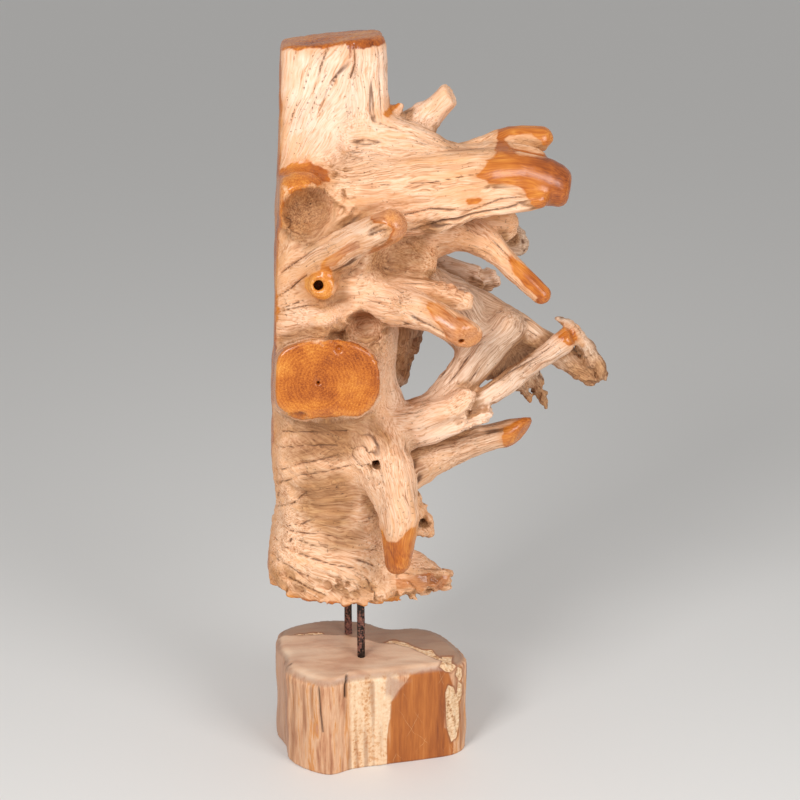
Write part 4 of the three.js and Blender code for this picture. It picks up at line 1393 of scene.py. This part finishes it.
def scratched(teak, colour, where, clouds, brushed):
    """Pale saw scratches in two crossing directions, broken off where the hand rubbed them out."""
    left = cover(teak, brushed, [], 0.50, 0.60, 0.45)
    for lean in SCRATCH_LEANS:
        rates = (lean[0] / SCRATCH_GAP, 0, lean[1] / SCRATCH_GAP)
        dot = add_node(teak, "VectorMath", {"operation": "DOT_PRODUCT"}, {0: where, 1: rates})
        across = dot.outputs["Value"]
        wobble = add_node(teak, "Math", TIMES_PLUS, {0: clouds, 1: 3.0, 2: across}).outputs[0]
        turn = add_node(teak, "Math", {"operation": "FRACT"}, {0: wobble}).outputs[0]
        thin = add_node(teak, "Math", {"operation": "LESS_THAN"}, {0: turn, 1: SCRATCH_SHARE}).outputs[0]
        line = add_node(teak, "Math", {"operation": "MULTIPLY"}, {0: thin, 1: left}).outputs[0]
        colour = coated(teak, colour, [(line, SCRATCH)])
    return colour


def block_teak():
    teak = new_material("teak_split_and_sanded")
    where = add_node(teak, "TexCoord").outputs["Object"]
    sanded, corky, creamy, greyed, checks, on_top, rear_top_shadow, edge_sheen, groove_shade = (
        add_node(teak, "Attribute", {"attribute_name": name}).outputs["Fac"]
        for name in ("sanded", "corky", "creamy", "greyed", "checks", "on_top", "rear_top_shadow", "edge_sheen",
                     "groove_shade"))
    streaks, fibres, clouds, specks, brushed = (
        stretched_noise(teak, where, size, 4.0, 0.5) for size in BLOCK_PATTERNS.values())
    tone, rubbed = (
        add_node(teak, "Mix", {}, {0: share, 2: a, 3: b}).outputs[0]
        for share, a, b in ((0.30, streaks, fibres), (0.40, brushed, clouds)))
    grainy = add_node(teak, "Mix", {}, {0: 0.45, 2: tone, 3: specks}).outputs[0]
    split, cream, heart, cork, worn = (
        add_node(teak, "ValToRGB", {}, {0: pattern}, stops=stops).outputs[0]
        for pattern, stops in zip((tone, grainy, tone, specks, rubbed), BLOCK_SHADES.values()))

    in_cream = cover(teak, creamy, [(clouds, 4.0)], 1.75, 2.25)
    # Painted shade: the flute valleys are darkened.
    in_groove_shade = cover(teak, groove_shade, [], 0.35, 0.75, 0.55)
    in_sanded = cover(teak, sanded, [(streaks, 0.9)], 0.35, 0.55)
    # Dusty grey on the lobe, and a painted sheen on one front corner.
    in_grey_and_sheen = cover(teak, greyed, [(streaks, 2.0)], 0.7, 1.4, 0.7)
    in_top = cover(teak, on_top, [(streaks, 1.2)], 0.75, 1.35)
    # Painted purple-grey sheen on the rounded top edge.
    on_edge_sheen = cover(teak, edge_sheen, [], 0.2, 1.0, 0.55)
    # Painted shadow on the rear of the top.
    in_rear_shadow = cover(teak, rear_top_shadow, [], 0.2, 0.9, 0.72)
    cork_rim = cover(teak, corky, [(streaks, 0.3)], -0.15, 0.11, 0.65)
    in_cork = cover(teak, corky, [(streaks, 0.3)], 0.12, 0.20)
    facet = scratched(teak, heart, where, clouds, brushed)
    colour = coated(teak, split, [
        (in_cream, cream), (in_groove_shade, GROOVE_SHADE), (in_sanded, facet), (in_grey_and_sheen, DUST_AND_SHEEN), (in_top, worn),
        (on_edge_sheen, EDGE_SHEEN), (in_rear_shadow, REAR_SHADOW), (cork_rim, CORK_RIM), (in_cork, cork),
        (checks, SPLIT_DARK)])

    smooth = add_node(teak, "Math", LARGER, {0: in_sanded, 1: in_top}).outputs[0]
    roughness = add_node(teak, "Mix", {}, {0: smooth, 2: SPLIT_ROUGHNESS, 3: SANDED_ROUGHNESS}).outputs[0]
    roughness = add_node(teak, "Mix", {}, {0: in_cork, 2: roughness, 3: CORK_ROUGHNESS}).outputs[0]
    height = add_node(teak, "Mix", {}, {0: 0.5, 2: fibres, 3: specks}).outputs[0]
    strength = add_node(teak, "Mix", {}, {0: smooth, 2: SPLIT_BUMP, 3: SANDED_BUMP}).outputs[0]
    return end_material(teak, colour, roughness, (strength, BLOCK_BUMP_DEPTH, height), IOR=WOOD_IOR)


block.data.materials.append(block_teak())

# %% [markdown]
# ### Steel: hot rolled and rusting
# Hot rolled bar keeps a black scale, which is a dull dark metal. Where it flaked, the steel under it
# rusts in small purple-brown specks, which are rough and not metallic.

# %% Rods' material
RUST_SIZE, RUST_SPREAD = 0.0045, 0.0455
RUST = [(0.35, "#4A2C26"), (0.55, "#7A4B40"), (0.7, "#96654E")]
SCALE = [(0.35, "#2A2422"), (0.65, "#4C423D")]
STEEL_BUMP, STEEL_BUMP_DEPTH = 0.5, 0.0005


def rusty_steel():
    steel = new_material("hot_rolled_steel_rusting")
    where = add_node(steel, "TexCoord").outputs["Object"]
    flakes, spread = (
        add_node(steel, "TexNoise", {}, {"Vector": where, "Scale": 1 / size, "Detail": detail}).outputs[0]
        for size, detail in ((RUST_SIZE, 4.0), (RUST_SPREAD, 2.0)))
    in_rust = cover(steel, flakes, [(spread, 1.2)], 1.05, 1.25)
    rust, scale = (
        add_node(steel, "ValToRGB", {}, {0: flakes}, stops=stops).outputs[0] for stops in (RUST, SCALE))
    colour = coated(steel, scale, [(in_rust, rust)])
    metallic, roughness = (
        add_node(steel, "Mix", {}, {0: in_rust, 2: on_scale, 3: on_rust}).outputs[0]
        for on_scale, on_rust in ((0.85, 0.1), (0.36, 0.75)))
    return end_material(steel, colour, roughness, (STEEL_BUMP, STEEL_BUMP_DEPTH, flakes), Metallic=metallic)


steel = rusty_steel()
for name in ("front_rod_steel", "rear_rod_steel"):
    bpy.data.objects[name].data.materials.append(steel)

# %% [markdown]
# ## Light, floor and camera
# Two large area lamps near the camera give soft shadows in the hollows and one broad highlight on each
# oiled end. The world adds a little light from everywhere, so that no hollow turns black.

# %% Studio
CAMERA_PLACE, CAMERA_DIP, LENS = (0.063, -3.12, 1.84), 18.96, 74.25
camera_data = bpy.data.cameras.new("camera")
camera_data.lens = LENS
camera_data.sensor_width = 36
camera = bpy.data.objects.new("camera", camera_data)
camera.location = CAMERA_PLACE
camera.rotation_euler = (math.radians(90 - CAMERA_DIP), 0, 0)
bpy.context.scene.collection.objects.link(camera)
bpy.context.scene.camera = camera
bpy.context.scene.view_settings.view_transform = "Standard"

FLOOR_REACH = 30
floor_corners = FLOOR_REACH * np.array([(-1, -1, 0), (1, -1, 0), (1, 1, 0), (-1, 1, 0)], float)
floor = add_mesh("floor", floor_corners, [(0, 1, 2, 3)])
pale = new_material("pale_floor")
paint = add_node(pale, "BsdfPrincipled", {}, {"Base Color": linear("#E4E2DF"), "Roughness": 0.6})
add_node(pale, "OutputMaterial", {}, {"Surface": paint.outputs[0]})
floor.data.materials.append(pale)


def add_lamp(name, place, target, size, watts):
    """A square lamp, turned to face the target."""
    lamp = bpy.data.lights.new(name, "AREA")
    lamp.energy = watts
    lamp.size = size
    thing = bpy.data.objects.new(name, lamp)
    thing.location = place
    aim = np.array(target, float) - place
    across = math.atan2(aim[0], -aim[1])
    thing.rotation_euler = (math.atan2(math.hypot(aim[0], aim[1]), -aim[2]), 0, math.pi + across)
    bpy.context.scene.collection.objects.link(thing)


MIDDLE = (0.05, 0, 0.85)
WORLD_LIGHT = 0.45
add_lamp("key_lamp", (-1.5, -2.6, 2.6), MIDDLE, 1.2, 75)
add_lamp("fill_lamp", (2.1, -2.4, 2.0), MIDDLE, 1.5, 55)
world = bpy.data.worlds.new("studio")
world.use_nodes = True
world.node_tree.nodes["Background"].inputs[0].default_value = linear("#FFFFFF")
world.node_tree.nodes["Background"].inputs[1].default_value = WORLD_LIGHT
bpy.context.scene.world = world
print("camera", round(np.linalg.norm(np.subtract(CAMERA_PLACE, MIDDLE)), 2), "m from the middle")
